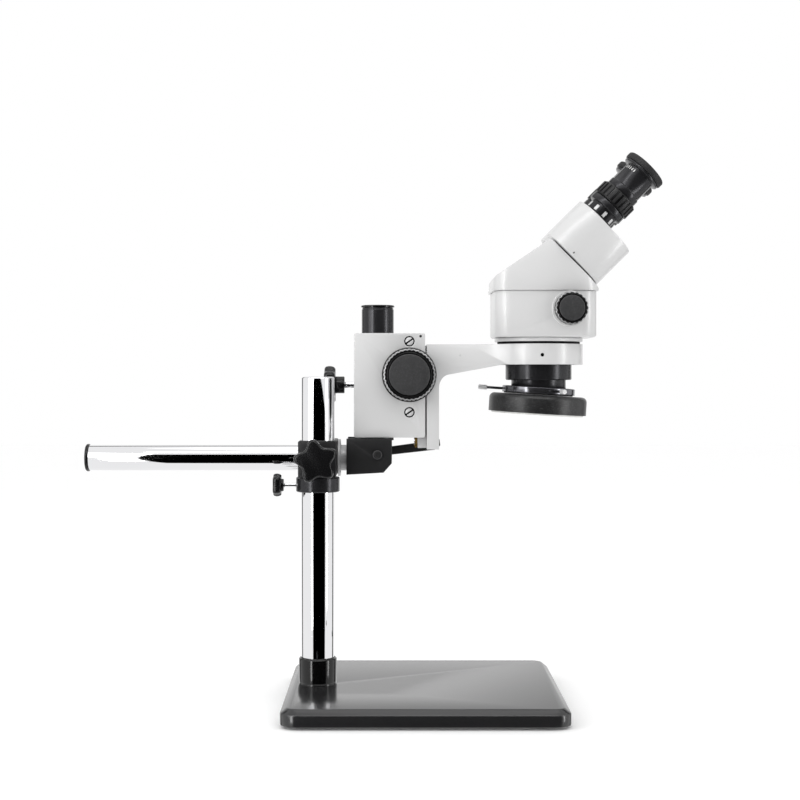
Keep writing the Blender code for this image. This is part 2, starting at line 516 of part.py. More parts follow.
def build_focus_arm(parts):
    """Arm that slides on the block: leg, tapered beam and the 76 mm ring for the head, one casting."""
    centre = Vector((26.0, 301.6))
    fillet = 10.4
    steps = 6
    bend = [(centre.x + fillet * math.cos(math.radians(180.0 - 80.0 * step / steps)),
             centre.y + fillet * 1.26 * math.sin(math.radians(80.0 * step / steps))) for step in range(steps + 1)]
    side = [(ARM_LEFT, ARM_LOW), (ARM_LEG_RIGHT, ARM_LOW)] + bend
    beam_low = RING_LOW + 0.6
    side += [(80.5, beam_low), (RING_X - 3.0, beam_low), (RING_X - 3.0, ARM_TOP), (ARM_LEFT, ARM_TOP)]
    wide = 34.0
    casting = prism(side, "Y", SCOPE_Y - wide, SCOPE_Y + wide)
    plan = [(ARM_LEFT - 2.0, -ARM_HALF), (45.0, -ARM_HALF), (88.0, -31.0), (RING_X, -31.0),
            (RING_X, 31.0), (88.0, 31.0), (45.0, ARM_HALF), (ARM_LEFT - 2.0, ARM_HALF)]
    keep = prism([(x, SCOPE_Y + y) for x, y in plan], "Z", ARM_LOW - 5.0, ARM_TOP + 5.0)
    ring = rod(RING_RADIUS, (RING_X, SCOPE_Y, RING_LOW), (RING_X, SCOPE_Y, ARM_TOP + 0.3), FINE)
    bore = rod(RING_BORE, (RING_X, SCOPE_Y, RING_LOW - 5.0), (RING_X, SCOPE_Y, ARM_TOP + 5.0), FINE)
    hole = rod(1.8, (RING_X, SCOPE_Y - RING_RADIUS - 5.0, SET_SCREW_Z), (RING_X, SCOPE_Y - 25.0, SET_SCREW_Z), 14)
    parts.add("focus_arm", "focus_slide", "white_enamel", casting, [hole, bore], [ring], [keep])
    parts.add("dovetail_rail", "focus_slide", "steel", prism(rail_outline(0.0), "Z", RAIL_LOW, RAIL_TOP))

    pitch, tooth = 3.1416, 0.9
    outline = [(RAIL_LEFT - GAP, RAIL_LOW)]
    outline.append((RACK_FACE + tooth, RAIL_LOW))
    level = RAIL_LOW + 1.0
    while level + pitch < RAIL_TOP:
        outline += [(RACK_FACE + tooth, level), (RACK_FACE, level + 0.3 * pitch),
                    (RACK_FACE, level + 0.6 * pitch), (RACK_FACE + tooth, level + 0.9 * pitch)]
        level += pitch
    outline += [(RACK_FACE + tooth, RAIL_TOP), (RAIL_LEFT - GAP, RAIL_TOP)]
    parts.add("gear_rack", "focus_slide", "brass", prism(outline, "Y", SCOPE_Y - 4.0, SCOPE_Y + 4.0))


# Microscope head --------------------------------------------------------------------------------

def build_head_body(parts):
    """Collar that turns in the ring, lower housing, top cover, objective barrel and its lens."""
    seat = ARM_TOP + 0.6
    bore = BARREL_RADIUS + GAP
    collar = turned([(bore, RING_LOW + 0.3), (RING_BORE - GAP, RING_LOW + 0.3), (RING_BORE - GAP, seat),
                     (40.5, seat), (40.5, seat + 2.0), (43.2, seat + 2.0), (43.2, HOUSING_LOW - 0.6),
                     (42.9, HOUSING_LOW - GAP), (bore, HOUSING_LOW - GAP)], (RING_X, SCOPE_Y, 0.0), sides=FINE)
    parts.add("head_collar", "head", "white_enamel", collar)

    middle = ((HOUSING_LEFT + HOUSING_RIGHT) / 2.0, SCOPE_Y)
    half_long = (HOUSING_RIGHT - HOUSING_LEFT) / 2.0
    outer = rectangle(middle, half_long, HOUSING_HALF, HOUSING_CORNER, 6)
    inner = rectangle(middle, half_long - WALL, HOUSING_HALF - WALL, HOUSING_CORNER - WALL, 6)
    small = rectangle(middle, half_long - 1.5, HOUSING_HALF - 1.5, HOUSING_CORNER - 1.5, 6)
    levels = ((small, HOUSING_LOW), (outer, HOUSING_LOW + 1.5), (outer, HOUSING_TOP))
    shell = loft([[(x, y, z) for x, y in outline] for outline, z in levels])
    near, far = SCOPE_Y - HOUSING_HALF, SCOPE_Y + HOUSING_HALF
    cuts = [prism(inner, "Z", HOUSING_LOW + WALL, HOUSING_TOP + 5.0),
            rod(28.0, (RING_X, SCOPE_Y, HOUSING_LOW - 5.0), (RING_X, SCOPE_Y, HOUSING_LOW + 10.0)),
            rod(SHAFT_RADIUS + GAP, (ZOOM_X, near - 5.0, ZOOM_Z), (ZOOM_X, far + 5.0, ZOOM_Z), COARSE)]
    parts.add("lower_housing", "head", "white_enamel", shell, cuts)

    lip = 2.0
    side = [(HOUSING_LEFT - lip, HOUSING_TOP + GAP), (HOUSING_RIGHT + lip, HOUSING_TOP + GAP),
            (HOUSING_RIGHT + lip, 397.4), (123.0, 443.4), (120.0, 443.8), (69.5, 409.7), (67.5, 406.5),
            (67.5, 398.3), (HOUSING_LEFT - lip, 398.3)]
    lid = rectangle(middle, half_long + lip, HOUSING_HALF + lip, HOUSING_CORNER, 6)
    hollow = [(75.5, HOUSING_TOP - 5.0), (160.0, HOUSING_TOP - 5.0), (160.0, 399.0), (121.5, 437.4),
              (75.5, 406.5)]
    cuts = [prism(hollow, "Y", near + 5.0, far - 5.0)]
    parts.add("top_cover", "head", "white_enamel", prism(side, "Y", near - lip, far + lip), cuts,
              keeps=[prism(lid, "Z", HOUSING_TOP - 5.0, 460.0)])

    barrel = turned([(LIGHT_PATH, NOSE_LOW), (NOSE_RADIUS, NOSE_LOW), (NOSE_RADIUS, BARREL_LOW),
                     (BARREL_RADIUS - 0.8, BARREL_LOW), (BARREL_RADIUS, BARREL_LOW + 0.8),
                     (BARREL_RADIUS, ARM_TOP), (LIGHT_PATH + 3.0, ARM_TOP), (LIGHT_PATH + 3.0, NOSE_LOW + 3.0),
                     (LIGHT_PATH, NOSE_LOW + 3.0)], (RING_X, SCOPE_Y, 0.0), sides=FINE)
    parts.add("objective_barrel", "head", "black_satin", barrel)
    lens_low = NOSE_LOW + 3.0 + GAP
    lens = turned([(0.0, lens_low), (LIGHT_PATH + 2.7, lens_low), (LIGHT_PATH + 2.7, lens_low + 5.0),
                   (12.0, lens_low + 6.5), (0.0, lens_low + 7.0)], (RING_X, SCOPE_Y, 0.0))
    parts.add("objective_lens", "head", "glass", lens)


def build_zoom(parts):
    """Zoom shaft with a knob at each end, and the lens carrier that it raises and lowers."""
    overhang = HOUSING_HALF + 2.0 + ZOOM_KNOB_DEEP - 4.0
    parts.add("zoom_shaft", "zoom", "steel",
              rod(SHAFT_RADIUS, (ZOOM_X, SCOPE_Y - overhang, ZOOM_Z), (ZOOM_X, SCOPE_Y + overhang, ZOOM_Z), COARSE))
    for name, side in (("zoom_knob_near", -1.0), ("zoom_knob_far", 1.0)):
        inner = SCOPE_Y + side * (HOUSING_HALF + 2.0)
        knob = grip(lobed(ZOOM_RADIUS - 0.5, 0.5, 20, 2), ZOOM_KNOB_DEEP, 1.2, (ZOOM_X, inner, ZOOM_Z),
                    (0.0, side, 0.0))
        bore = rod(SHAFT_RADIUS + GAP, (ZOOM_X, SCOPE_Y, ZOOM_Z),
                   (ZOOM_X, SCOPE_Y + side * (overhang + GAP), ZOOM_Z), COARSE)
        parts.add(name, "zoom", "black_plastic", knob, [bore])
    left, right, half = 80.0, 132.0, 36.0
    low, high = 362.0, 384.0
    holes = [rod(11.0, (RING_X - 8.0, SCOPE_Y + y, low - 5.0), (RING_X - 8.0, SCOPE_Y + y, high + 5.0), COARSE)
             for y in (-16.0, 16.0)]
    parts.add("zoom_lens_carrier", "zoom_carrier", "black_satin",
              block((left, SCOPE_Y - half, low), (right, SCOPE_Y + half, high)), holes)


def pod_outline(side):
    """Hull of a pod's two round lobes in the (W, Y) plane."""
    lower = Vector((PIVOT_W, side * PIVOT_OUT))
    upper = Vector((EYE_W, side * EYE_OUT))
    line = upper - lower
    heading = math.atan2(line.y, line.x)
    lean = math.acos((PIVOT_LOBE - EYE_LOBE) / line.length)
    steps = 12
    outline = []
    for centre, radius, first, last in ((upper, EYE_LOBE, lean - math.pi, math.pi - lean),
                                        (lower, PIVOT_LOBE, math.pi - lean, math.pi + lean)):
        for step in range(steps + 1):
            angle = heading + first + (last - first) * step / steps
            outline.append(centre + Vector((math.cos(angle), math.sin(angle))) * radius)
    return outline


def build_viewing_head(parts):
    """Pivot plate, and on each side a swinging pod with its tube, dioptre ring, eyepiece and eyecup."""
    low_w, high_w, half = -223.5, -166.5, 42.0
    middle = (low_w + high_w) / 2.0
    outline = rectangle((middle, SCOPE_Y), (high_w - low_w) / 2.0, half, 12.0)
    sections = [[leaning(u, w, y) for w, y in outline] for u in (COVER_U + GAP, POD_U - GAP)]
    parts.add("pivot_plate", "head", "black_satin", loft(sections))
    for name, side in (("near", -1.0), ("far", 1.0)):
        pod = f"{name}_pod"
        parts.add_joint(pod, "head", leaning(POD_U, PIVOT_W, SCOPE_Y + side * PIVOT_OUT))
        parts.add_joint(f"{name}_dioptre", pod, leaning(POD_TOP_U, EYE_W, SCOPE_Y + side * EYE_OUT))
        sections = [[leaning(u, w, SCOPE_Y + y) for w, y in pod_outline(side)] for u in (POD_U, POD_TOP_U)]
        path = rod(12.5, leaning(POD_TOP_U - 30.0, EYE_W, SCOPE_Y + side * EYE_OUT),
                   leaning(POD_TOP_U + 5.0, EYE_W, SCOPE_Y + side * EYE_OUT), COARSE)
        parts.add(f"prism_{pod}", pod, "white_enamel", loft(sections), [path])
        build_eyepiece(parts, name, side)


def build_eyepiece(parts, name, side):
    """Pieces turned about one eyepiece axis. Heights run up the axis from the pod's top face."""
    pod = f"{name}_pod"
    centre = leaning(POD_TOP_U, EYE_W, SCOPE_Y + side * EYE_OUT)
    axis = leaning(1.0, 0.0, 0.0)
    pieces = [
        ("eyepiece_tube", pod, "black_satin",
         [(12.5, GAP), (15.15, GAP), (15.15, 10.6), (18.2, 10.6), (19.0, 11.4), (19.0, 16.6), (18.2, 17.3),
          (14.0, 17.3), (14.0, 32.0), (12.5, 32.0)]),
        ("dioptre_ring", f"{name}_dioptre", "black_plastic",
         [(14.3, 17.6), (18.9, 17.6), (19.7, 18.4), (19.7, 31.2), (18.9, 32.0), (14.3, 32.0)]),
        ("eyepiece_body", pod, "black_satin",
         [(10.5, 14.0), (12.2, 14.0), (12.2, 32.3), (17.0, 32.3), (17.0, 38.4), (16.0, 39.2), (16.0, 59.0),
          (20.0, 59.6), (20.5, 60.2), (20.5, 61.8), (12.0, 61.8), (12.0, 53.7), (10.5, 53.7)]),
        ("eye_lens", pod, "glass",
         [(0.0, 54.0), (11.7, 54.0), (11.7, 57.0), (6.0, 57.6), (0.0, 57.8)]),
        ("eyecup", pod, "rubber",
         [(13.0, 62.1), (20.8, 62.1), (21.85, 63.2), (21.85, 67.6), (20.8, 68.8), (18.6, 68.8), (16.0, 66.0),
          (13.0, 64.5)]),
    ]
    for piece, body, finish, profile in pieces:
        parts.add(f"{piece}_{name}", body, finish, turned(profile, centre, axis))


# Ring light -------------------------------------------------------------------------------------

def build_ring_light(parts):
    """Ring light round the light path: adapter ring, lamp housing, diffuser and three thumbscrews."""
    middle = (RING_X, SCOPE_Y, 0.0)
    shoulder = 5.0
    arc = [(LAMP_RADIUS - shoulder + shoulder * math.cos(math.radians(18.0 * step)),
            LAMP_TOP - shoulder + shoulder * math.sin(math.radians(18.0 * step))) for step in range(6)]
    groove_in, groove_out, groove_top = 33.0, 45.4, LAMP_LOW + 4.5
    lamp = [(LAMP_BORE, LAMP_LOW), (groove_in, LAMP_LOW), (groove_in, groove_top), (groove_out, groove_top),
            (groove_out, LAMP_LOW), (LAMP_RADIUS, LAMP_LOW)] + arc + [(LAMP_BORE, LAMP_TOP)]
    parts.add("ring_light_housing", "head", "black_plastic", lamp_tilt(turned(lamp, middle, sides=FINE)))
    diffuser = [(groove_in + GAP, LAMP_LOW - 1.5), (groove_out - GAP, LAMP_LOW - 1.5),
                (groove_out - GAP, groove_top - GAP), (groove_in + GAP, groove_top - GAP)]
    parts.add("ring_light_diffuser", "head", "diffuser", lamp_tilt(turned(diffuser, middle, sides=FINE)))

    adapter = [(ADAPTER_BORE, LAMP_TOP + GAP), (ADAPTER_RADIUS - 2.0, LAMP_TOP + GAP),
               (ADAPTER_RADIUS - 2.0, 296.0), (ADAPTER_RADIUS, 296.0), (ADAPTER_RADIUS, ADAPTER_TOP - 0.8),
               (ADAPTER_RADIUS - 0.8, ADAPTER_TOP), (ADAPTER_BORE, ADAPTER_TOP)]
    stem, tip = 1.3, NOSE_RADIUS + 0.9
    holes = []
    for angle in LAMP_SCREW_ANGLES:
        out = Vector((math.cos(math.radians(angle)), math.sin(math.radians(angle)), 0.0))
        place = Vector((RING_X, SCOPE_Y, LAMP_SCREW_Z))
        holes.append(lamp_tilt(rod(stem + GAP, place + out * 25.0, place + out * 45.0, COARSE)))
    parts.add("ring_light_adapter", "head", "black_satin", lamp_tilt(turned(adapter, middle, sides=FINE)), holes)
    for number, angle in enumerate(LAMP_SCREW_ANGLES, start=1):
        out = Vector((math.cos(math.radians(angle)), math.sin(math.radians(angle)), 0.0))
        start = Vector((RING_X, SCOPE_Y, LAMP_SCREW_Z)) + out * tip
        body = f"lamp_screw_{number}"
        pivot = Vector((RING_X, SCOPE_Y, LAMP_SCREW_Z)) + lamp_direction(angle) * tip
        parts.add_joint(body, "head", tuple(pivot))
        head_from, head_to = 51.0 - tip, 59.5 - tip
        screw = turned([(0.0, 0.0), (stem, 0.0), (stem, head_from), (1.8, head_from), (2.3, head_from + 0.6),
                        (2.3, head_to - 0.6), (1.8, head_to), (0.0, head_to)], start, out, 16)
        parts.add(f"adapter_thumbscrew_{number}", body, "steel", lamp_tilt(screw))


def lamp_direction(angle):
    """Direction of a ring light screw, once the ring light leans."""
    out = Vector((math.cos(math.radians(angle)), math.sin(math.radians(angle)), 0.0))
    return Matrix.Rotation(math.radians(LAMP_LEAN), 3, "Y") @ out


def main():
    """Build the microscope and its stand."""
    clear_scene()
    parts = Assembly(JOINTS)
    build_base(parts)
    build_post(parts)
    build_safety_collar(parts)
    build_cross_block(parts)
    build_boom(parts)
    build_knuckle(parts)
    build_rack_post(parts)
    build_focus_case(parts)
    build_focus_drive(parts)
    build_focus_arm(parts)
    build_head_body(parts)
    build_zoom(parts)
    build_viewing_head(parts)
    build_ring_light(parts)


main()
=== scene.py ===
"""Looks of a stereo microscope on a boom stand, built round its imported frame.

Shapes are written in millimetres in a piece's own axes, and each piece is placed by a matrix that is
read from the frame: the box of a node or the axis of a joint. All names are those of the real parts.
"""

import json
import logging
import math
from dataclasses import dataclass, field
from enum import Enum

import bmesh
import bpy
from mathutils import Matrix, Vector

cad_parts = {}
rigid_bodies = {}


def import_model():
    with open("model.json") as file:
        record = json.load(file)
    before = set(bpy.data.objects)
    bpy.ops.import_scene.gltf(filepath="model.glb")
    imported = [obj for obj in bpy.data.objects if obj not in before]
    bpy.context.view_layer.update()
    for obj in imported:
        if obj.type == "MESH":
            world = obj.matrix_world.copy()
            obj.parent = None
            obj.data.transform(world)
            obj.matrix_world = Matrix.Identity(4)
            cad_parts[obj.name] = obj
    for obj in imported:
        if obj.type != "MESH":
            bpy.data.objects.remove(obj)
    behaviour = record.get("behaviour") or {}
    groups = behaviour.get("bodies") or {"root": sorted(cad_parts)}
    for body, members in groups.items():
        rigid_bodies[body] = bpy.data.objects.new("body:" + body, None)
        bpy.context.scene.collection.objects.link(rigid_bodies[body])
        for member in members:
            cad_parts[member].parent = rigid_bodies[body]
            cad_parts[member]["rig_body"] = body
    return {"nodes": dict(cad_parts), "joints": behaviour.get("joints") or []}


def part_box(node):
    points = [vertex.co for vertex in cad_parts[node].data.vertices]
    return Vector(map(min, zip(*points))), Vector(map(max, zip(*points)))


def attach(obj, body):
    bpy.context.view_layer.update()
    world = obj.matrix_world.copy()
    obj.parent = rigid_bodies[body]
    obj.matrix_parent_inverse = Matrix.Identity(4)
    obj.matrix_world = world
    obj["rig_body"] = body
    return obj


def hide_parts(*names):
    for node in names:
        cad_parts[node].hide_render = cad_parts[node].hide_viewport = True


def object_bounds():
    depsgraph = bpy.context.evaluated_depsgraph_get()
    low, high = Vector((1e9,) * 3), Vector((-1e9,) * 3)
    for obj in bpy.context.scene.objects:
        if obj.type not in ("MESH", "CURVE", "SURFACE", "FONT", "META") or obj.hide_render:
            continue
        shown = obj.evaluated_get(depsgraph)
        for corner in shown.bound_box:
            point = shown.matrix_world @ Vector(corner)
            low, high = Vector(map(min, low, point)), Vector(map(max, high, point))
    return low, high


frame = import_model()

MM = 0.001
CAD_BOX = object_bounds()
log = logging.getLogger("microscope")

UP = Vector((0.0, 0.0, 1.0))
NEARWARD = Vector((0.0, -1.0, 0.0))     # out of the near side
RIGHTWARD = Vector((1.0, 0.0, 0.0))     # along the boom, towards the microscope
LEFTWARD = Vector((-1.0, 0.0, 0.0))

Point = tuple[float, float, float]
Outline = list[tuple[float, float]]


class Side(Enum):
    """Which of a mirrored pair of pieces: towards the operator's near side or away from it."""

    NEAR = -1.0
    FAR = 1.0

    @property
    def word(self) -> str:
        """The side's word in node names."""
        return self.name.lower()


# Finishes ---------------------------------------------------------------------------------------

def linear(code: str) -> tuple[float, float, float, float]:
    """Turn an sRGB hex colour to the linear one that shaders take.

    Args:
        code: Six hex digits after a hash sign.

    Returns:
        Linear red, green, blue and an alpha of one.
    """
    parts = [int(code[start:start + 2], 16) / 255.0 for start in (1, 3, 5)]
    values = [part / 12.92 if part <= 0.04045 else ((part + 0.055) / 1.055) ** 2.4 for part in parts]
    return (values[0], values[1], values[2], 1.0)


def node(tree: bpy.types.NodeTree, kind: str, settings: dict | None = None,
         values: dict | None = None, links: dict | None = None) -> bpy.types.Node:
    """Add one shader node.

    Args:
        tree: The material's node tree.
        kind: Blender's name for the node's type.
        settings: Properties of the node itself.
        values: Constants for its input sockets, by name or number.
        links: Output sockets that feed its input sockets, by name or number.

    Returns:
        The new node.
    """
    made = tree.nodes.new(kind)
    for name, value in (settings or {}).items():
        setattr(made, name, value)
    for name, value in (values or {}).items():
        made.inputs[name].default_value = value
    for name, socket in (links or {}).items():
        tree.links.new(socket, made.inputs[name])
    return made


@dataclass(frozen=True)
class Finish:
    """A surface: base colour, gloss, and a fine grain with slow variation under it."""

    name: str
    slot: str
    colour: str
    tone: str                       # the second colour that slow variation reaches
    roughness: float
    spread: float = 0.06            # how far roughness wanders either way
    metallic: float = 0.0
    grain_mm: float = 1.2           # size of one grain of the surface
    relief_mm: float = 0.01         # how high the grain stands
    patch_mm: float = 30.0          # size of the slow variation
    coat: float = 0.0
    coat_roughness: float = 0.05
    stretch: Point = (1.0, 1.0, 1.0)  # grain drawn out along an axis, as by a brush or a lathe tool
    specular: float = 0.5

    def material(self) -> bpy.types.Material:
        """Make the finish once and give the same material each time it is asked for."""
        known = bpy.data.materials.get(self.name)
        return known if known else self.build()

    def build(self) -> bpy.types.Material:
        """Build the node tree: grain to bump, slow noise to colour and roughness."""
        made = bpy.data.materials.new(self.name)
        made.use_nodes = True
        tree = made.node_tree
        shader = tree.nodes["Principled BSDF"]
        shader.inputs["Metallic"].default_value = self.metallic
        shader.inputs["Coat Weight"].default_value = self.coat
        shader.inputs["Coat Roughness"].default_value = self.coat_roughness
        shader.inputs["Specular IOR Level"].default_value = self.specular
        place = node(tree, "ShaderNodeTexCoord").outputs["Object"]
        drawn = node(tree, "ShaderNodeMapping", values={"Scale": self.stretch}, links={"Vector": place})
        slow = node(tree, "ShaderNodeTexNoise", values={"Scale": 1.0 / (self.patch_mm * MM), "Detail": 3.0},
                    links={"Vector": place})
        grain = node(tree, "ShaderNodeTexNoise", values={"Scale": 1.0 / (self.grain_mm * MM), "Detail": 4.0},
                     links={"Vector": drawn.outputs["Vector"]})
        mix = node(tree, "ShaderNodeMix", {"data_type": "RGBA"},
                   {6: linear(self.colour), 7: linear(self.tone)}, {0: slow.outputs["Fac"]})
        tree.links.new(self.fleck(tree, mix.outputs[2], grain.outputs["Fac"]), shader.inputs["Base Color"])
        gloss = node(tree, "ShaderNodeMapRange",
                     values={"To Min": max(0.02, self.roughness - self.spread),
                             "To Max": self.roughness + self.spread,
                             "From Min": 0.3, "From Max": 0.7},
                     links={"Value": grain.outputs["Fac"]})
        tree.links.new(gloss.outputs["Result"], shader.inputs["Roughness"])
        bump = node(tree, "ShaderNodeBump", values={"Strength": 1.0, "Distance": self.relief_mm * MM},
                    links={"Height": self.height(tree, grain.outputs["Fac"], place)})
        tree.links.new(bump.outputs["Normal"], shader.inputs["Normal"])
        return made

    def fleck(self, tree: bpy.types.NodeTree, colour: bpy.types.NodeSocket,
              grain: bpy.types.NodeSocket) -> bpy.types.NodeSocket:
        """Colour after any painted glints. A plain finish has none."""
        return colour

    def height(self, tree: bpy.types.NodeTree, grain: bpy.types.NodeSocket,
               place: bpy.types.NodeSocket) -> bpy.types.NodeSocket:
        """Height that feeds the bump. A plain finish uses its grain."""
        return grain


@dataclass(frozen=True)
class Speckled(Finish):
    """A moulded or cast surface whose grain tips carry painted glints, lighter colour standing for the light
    they would catch, so that it looks finely speckled.
    """

    fleck_tone: str = "#8A8A8A"
    fleck_share: float = 0.35

    def fleck(self, tree: bpy.types.NodeTree, colour: bpy.types.NodeSocket,
              grain: bpy.types.NodeSocket) -> bpy.types.NodeSocket:
        """Paint glints on the highest grains by lightening their colour."""
        glint_mask = node(tree, "ShaderNodeMapRange",
                    values={"From Min": 0.52, "From Max": 0.72, "To Max": self.fleck_share},
                    links={"Value": grain})
        mix = node(tree, "ShaderNodeMix", {"data_type": "RGBA"}, {7: linear(self.fleck_tone)},
                   {0: glint_mask.outputs["Result"], 6: colour})
        return mix.outputs[2]


@dataclass(frozen=True)
class CrackleCoat(Finish):
    """Powder coat: an orange-peel skin of shallow round cells over the grain."""

    cell_mm: float = 1.6

    def height(self, tree: bpy.types.NodeTree, grain: bpy.types.NodeSocket,
               place: bpy.types.NodeSocket) -> bpy.types.NodeSocket:
        """Add smooth cells to the grain."""
        cells = node(tree, "ShaderNodeTexVoronoi", {"feature": "SMOOTH_F1"},
                     {"Scale": 1.0 / (self.cell_mm * MM), "Smoothness": 0.6}, {"Vector": place})
        both = node(tree, "ShaderNodeMath", {"operation": "MULTIPLY_ADD"}, {1: 0.8},
                    {0: cells.outputs["Distance"]})
        tree.links.new(grain, both.inputs[2])
        return both.outputs["Value"]


@dataclass(frozen=True)
class LensGlass(Finish):
    """Coated optical glass: dark inside the tube, with a violet-green coating tint in its reflection."""

    def build(self) -> bpy.types.Material:
        """Build glass over a dark barrel, which reads as a coated lens."""
        made = super().build()
        shader = made.node_tree.nodes["Principled BSDF"]
        shader.inputs["IOR"].default_value = 1.62
        shader.inputs["Specular Tint"].default_value = linear("#B6A8E8")
        return made


# Enamel on a cast aluminium body: sprayed, flowed out and glossy, with a faint orange peel
ENAMEL = CrackleCoat("white_enamel_on_cast_aluminium", "white_enamel", "#D2D2D2", "#CDCDCD", 0.34, 0.04,
                     grain_mm=1.0, relief_mm=0.004, cell_mm=2.2, patch_mm=60.0, coat=0.25,
                     coat_roughness=0.12)
# Powder coat on steel: satin, with a fine peel that breaks up reflections
BASE_COAT = CrackleCoat("satin_black_powder_coat", "black_satin", "#1E1E1F", "#242425", 0.2, 0.04,
                        grain_mm=0.7, relief_mm=0.002, cell_mm=1.1, patch_mm=45.0, specular=0.6)
# Machined blocks in the same coat, a shade lighter and duller
BLOCK_COAT = CrackleCoat("dull_black_powder_coat", "black_satin", "#1C1C1D", "#252526", 0.42, 0.06,
                         grain_mm=0.6, relief_mm=0.008, cell_mm=0.9, patch_mm=20.0, specular=0.25)
# Wet-looking paint on the turned socket collar
GLOSS_PAINT = Finish("gloss_black_paint", "black_gloss", "#080808", "#0C0C0D", 0.14, 0.03, grain_mm=2.0,
                     relief_mm=0.002, coat=0.2, coat_roughness=0.06, specular=0.3)
# Hard chrome over ground steel: mirror bright, with faint grinding lines round the rod
CHROME = Finish("polished_hard_chrome", "chrome", "#EDEDEE", "#E6E6E8", 0.045, 0.015, 1.0, grain_mm=3.0,
                relief_mm=0.0006, patch_mm=80.0)
# Turned and brushed bright steel: satin with drawn-out tool lines
BRIGHT_STEEL = Finish("turned_bright_steel", "steel", "#D2D2D3", "#BEBEC0", 0.26, 0.08, 1.0, grain_mm=0.5,
                      relief_mm=0.004, stretch=(3.0, 0.15, 3.0))
# Zinc-plated and ground aluminium parts: pale and satin, with no mirror in them
SATIN_METAL = Finish("satin_plated_metal", "steel", "#D6D6D6", "#C2C2C3", 0.5, 0.06, 0.25, grain_mm=0.5,
                     relief_mm=0.004)
# Injection-moulded ABS with a spark-eroded texture, with painted glints on its tips
MOULDED = Speckled("textured_black_abs", "black_plastic", "#2A2A2B", "#343435", 0.45, 0.08, grain_mm=0.75,
                   relief_mm=0.03, patch_mm=15.0, specular=0.3, fleck_tone="#5E5E5F", fleck_share=0.4)
# The same plastic from a smooth mould
SMOOTH_ABS = Finish("smooth_black_abs", "black_plastic", "#0C0C0D", "#121213", 0.26, 0.05, grain_mm=0.8,
                    relief_mm=0.003, patch_mm=18.0, specular=0.3)
# Fine-grained housing of the ring light, nearly granular in raking light, with painted glints on its grain
GRANULAR = Speckled("granular_black_abs", "black_plastic", "#101011", "#1A1A1B", 0.36, 0.08, grain_mm=0.9,
                    relief_mm=0.035, patch_mm=12.0, specular=0.4, fleck_tone="#6C6C6D", fleck_share=0.4)
# Black anodised aluminium: turned, dyed and sealed, soft sheen along the tool lines
ANODISED = Finish("black_anodised_aluminium", "black_anodised", "#2C2C2E", "#363638", 0.24, 0.05, 0.6,
                  grain_mm=0.6, relief_mm=0.004, patch_mm=12.0, specular=0.35)
# The same aluminium, polished before it was dyed
POLISHED_BLACK = Finish("polished_black_anodising", "black_anodised", "#66666A", "#727276", 0.16, 0.04, 0.85,
                        grain_mm=0.8, relief_mm=0.002, patch_mm=14.0)
# Painted highlight: a pale edge along a grip's scallops, standing for the light they catch
PAINTED_GRIP_HIGHLIGHT = Finish("burnished_grip_edge", "black_plastic", "#D0D0D1", "#6A6A6B", 0.34, 0.08, 0.5,
                   grain_mm=1.5,
                   relief_mm=0.004, patch_mm=6.0)
# Soft rubber: dull, slightly bloomed to grey
RUBBER = Finish("matt_black_rubber", "rubber", "#161617", "#202021", 0.55, 0.08, grain_mm=0.6,
                relief_mm=0.012,
                patch_mm=10.0, specular=0.3)
GLASS = LensGlass("coated_lens_glass", "glass", "#0B0D14", "#0E0F16", 0.03, 0.01, grain_mm=4.0,
                  relief_mm=0.0002)
# Frosted polycarbonate over the lamps
FROSTED = Finish("frosted_diffuser", "diffuser", "#E9E9E6", "#DEDEDB", 0.45, 0.05, grain_mm=0.8,
                 relief_mm=0.01,
                 patch_mm=14.0)
BRASS = Finish("machined_brass", "brass", "#D9B36A", "#C59E58", 0.3, 0.08, 1.0, grain_mm=0.6, relief_mm=0.004,
               stretch=(0.2, 2.0, 2.0))
# Painted shade: flat dark colour put on slots, holes, gaps and socket bottoms where shade falls
SHADOW = Finish("unlit_recess", "black_satin", "#0C0C0D", "#101011", 0.8, 0.05, specular=0.2)
# White filling of engraved index marks
INK = Finish("white_index_ink", "white_enamel", "#F2F2F0", "#E6E6E4", 0.5, 0.05, grain_mm=0.4)


# Shapes -----------------------------------------------------------------------------------------

def axes(origin: Vector, direction: Vector, around: float = 0.0) -> Matrix:
    """Matrix from a piece's own millimetres, +Z along an axis, to the frame's metres.

    Args:
        origin: Where the piece's own origin lies in the frame.
        direction: Where its +Z points.
        around: Turn about that axis, in degrees.

    Returns:
        The placing matrix, millimetre scale included.
    """
    turn = UP.rotation_difference(Vector(direction)).to_matrix().to_4x4()
    spin = Matrix.Rotation(math.radians(around), 4, "Z")
    return Matrix.Translation(origin) @ turn @ spin @ Matrix.Scale(MM, 4)


def turned(profile: Outline, edge: float = 0.3, sides: int = 96) -> bmesh.types.BMesh:
    """Turn a profile about +Z and ease its rims.

    Args:
        profile: (radius, height) points, closed unless both ends lie on the axis.
        edge: Width of the eased rims.
        sides: How many sides stand for the round.

    Returns:
        A closed mesh with normals out.
    """
    mesh = bmesh.new()
    points = [mesh.verts.new((radius, 0.0, height)) for radius, height in profile]
    pairs = list(zip(points, points[1:]))
    if profile[0][0] > 0.0 or profile[-1][0] > 0.0:
        pairs.append((points[-1], points[0]))
    edges = [mesh.edges.new(pair) for pair in pairs]
    bmesh.ops.spin(mesh, geom=points + edges, cent=(0.0, 0.0, 0.0), axis=(0.0, 0.0, 1.0), angle=math.tau,
                   steps=sides, use_merge=True)
    bmesh.ops.remove_doubles(mesh, verts=mesh.verts, dist=0.001)
    bmesh.ops.recalc_face_normals(mesh, faces=mesh.faces)
    ease(mesh, edge)
    return mesh


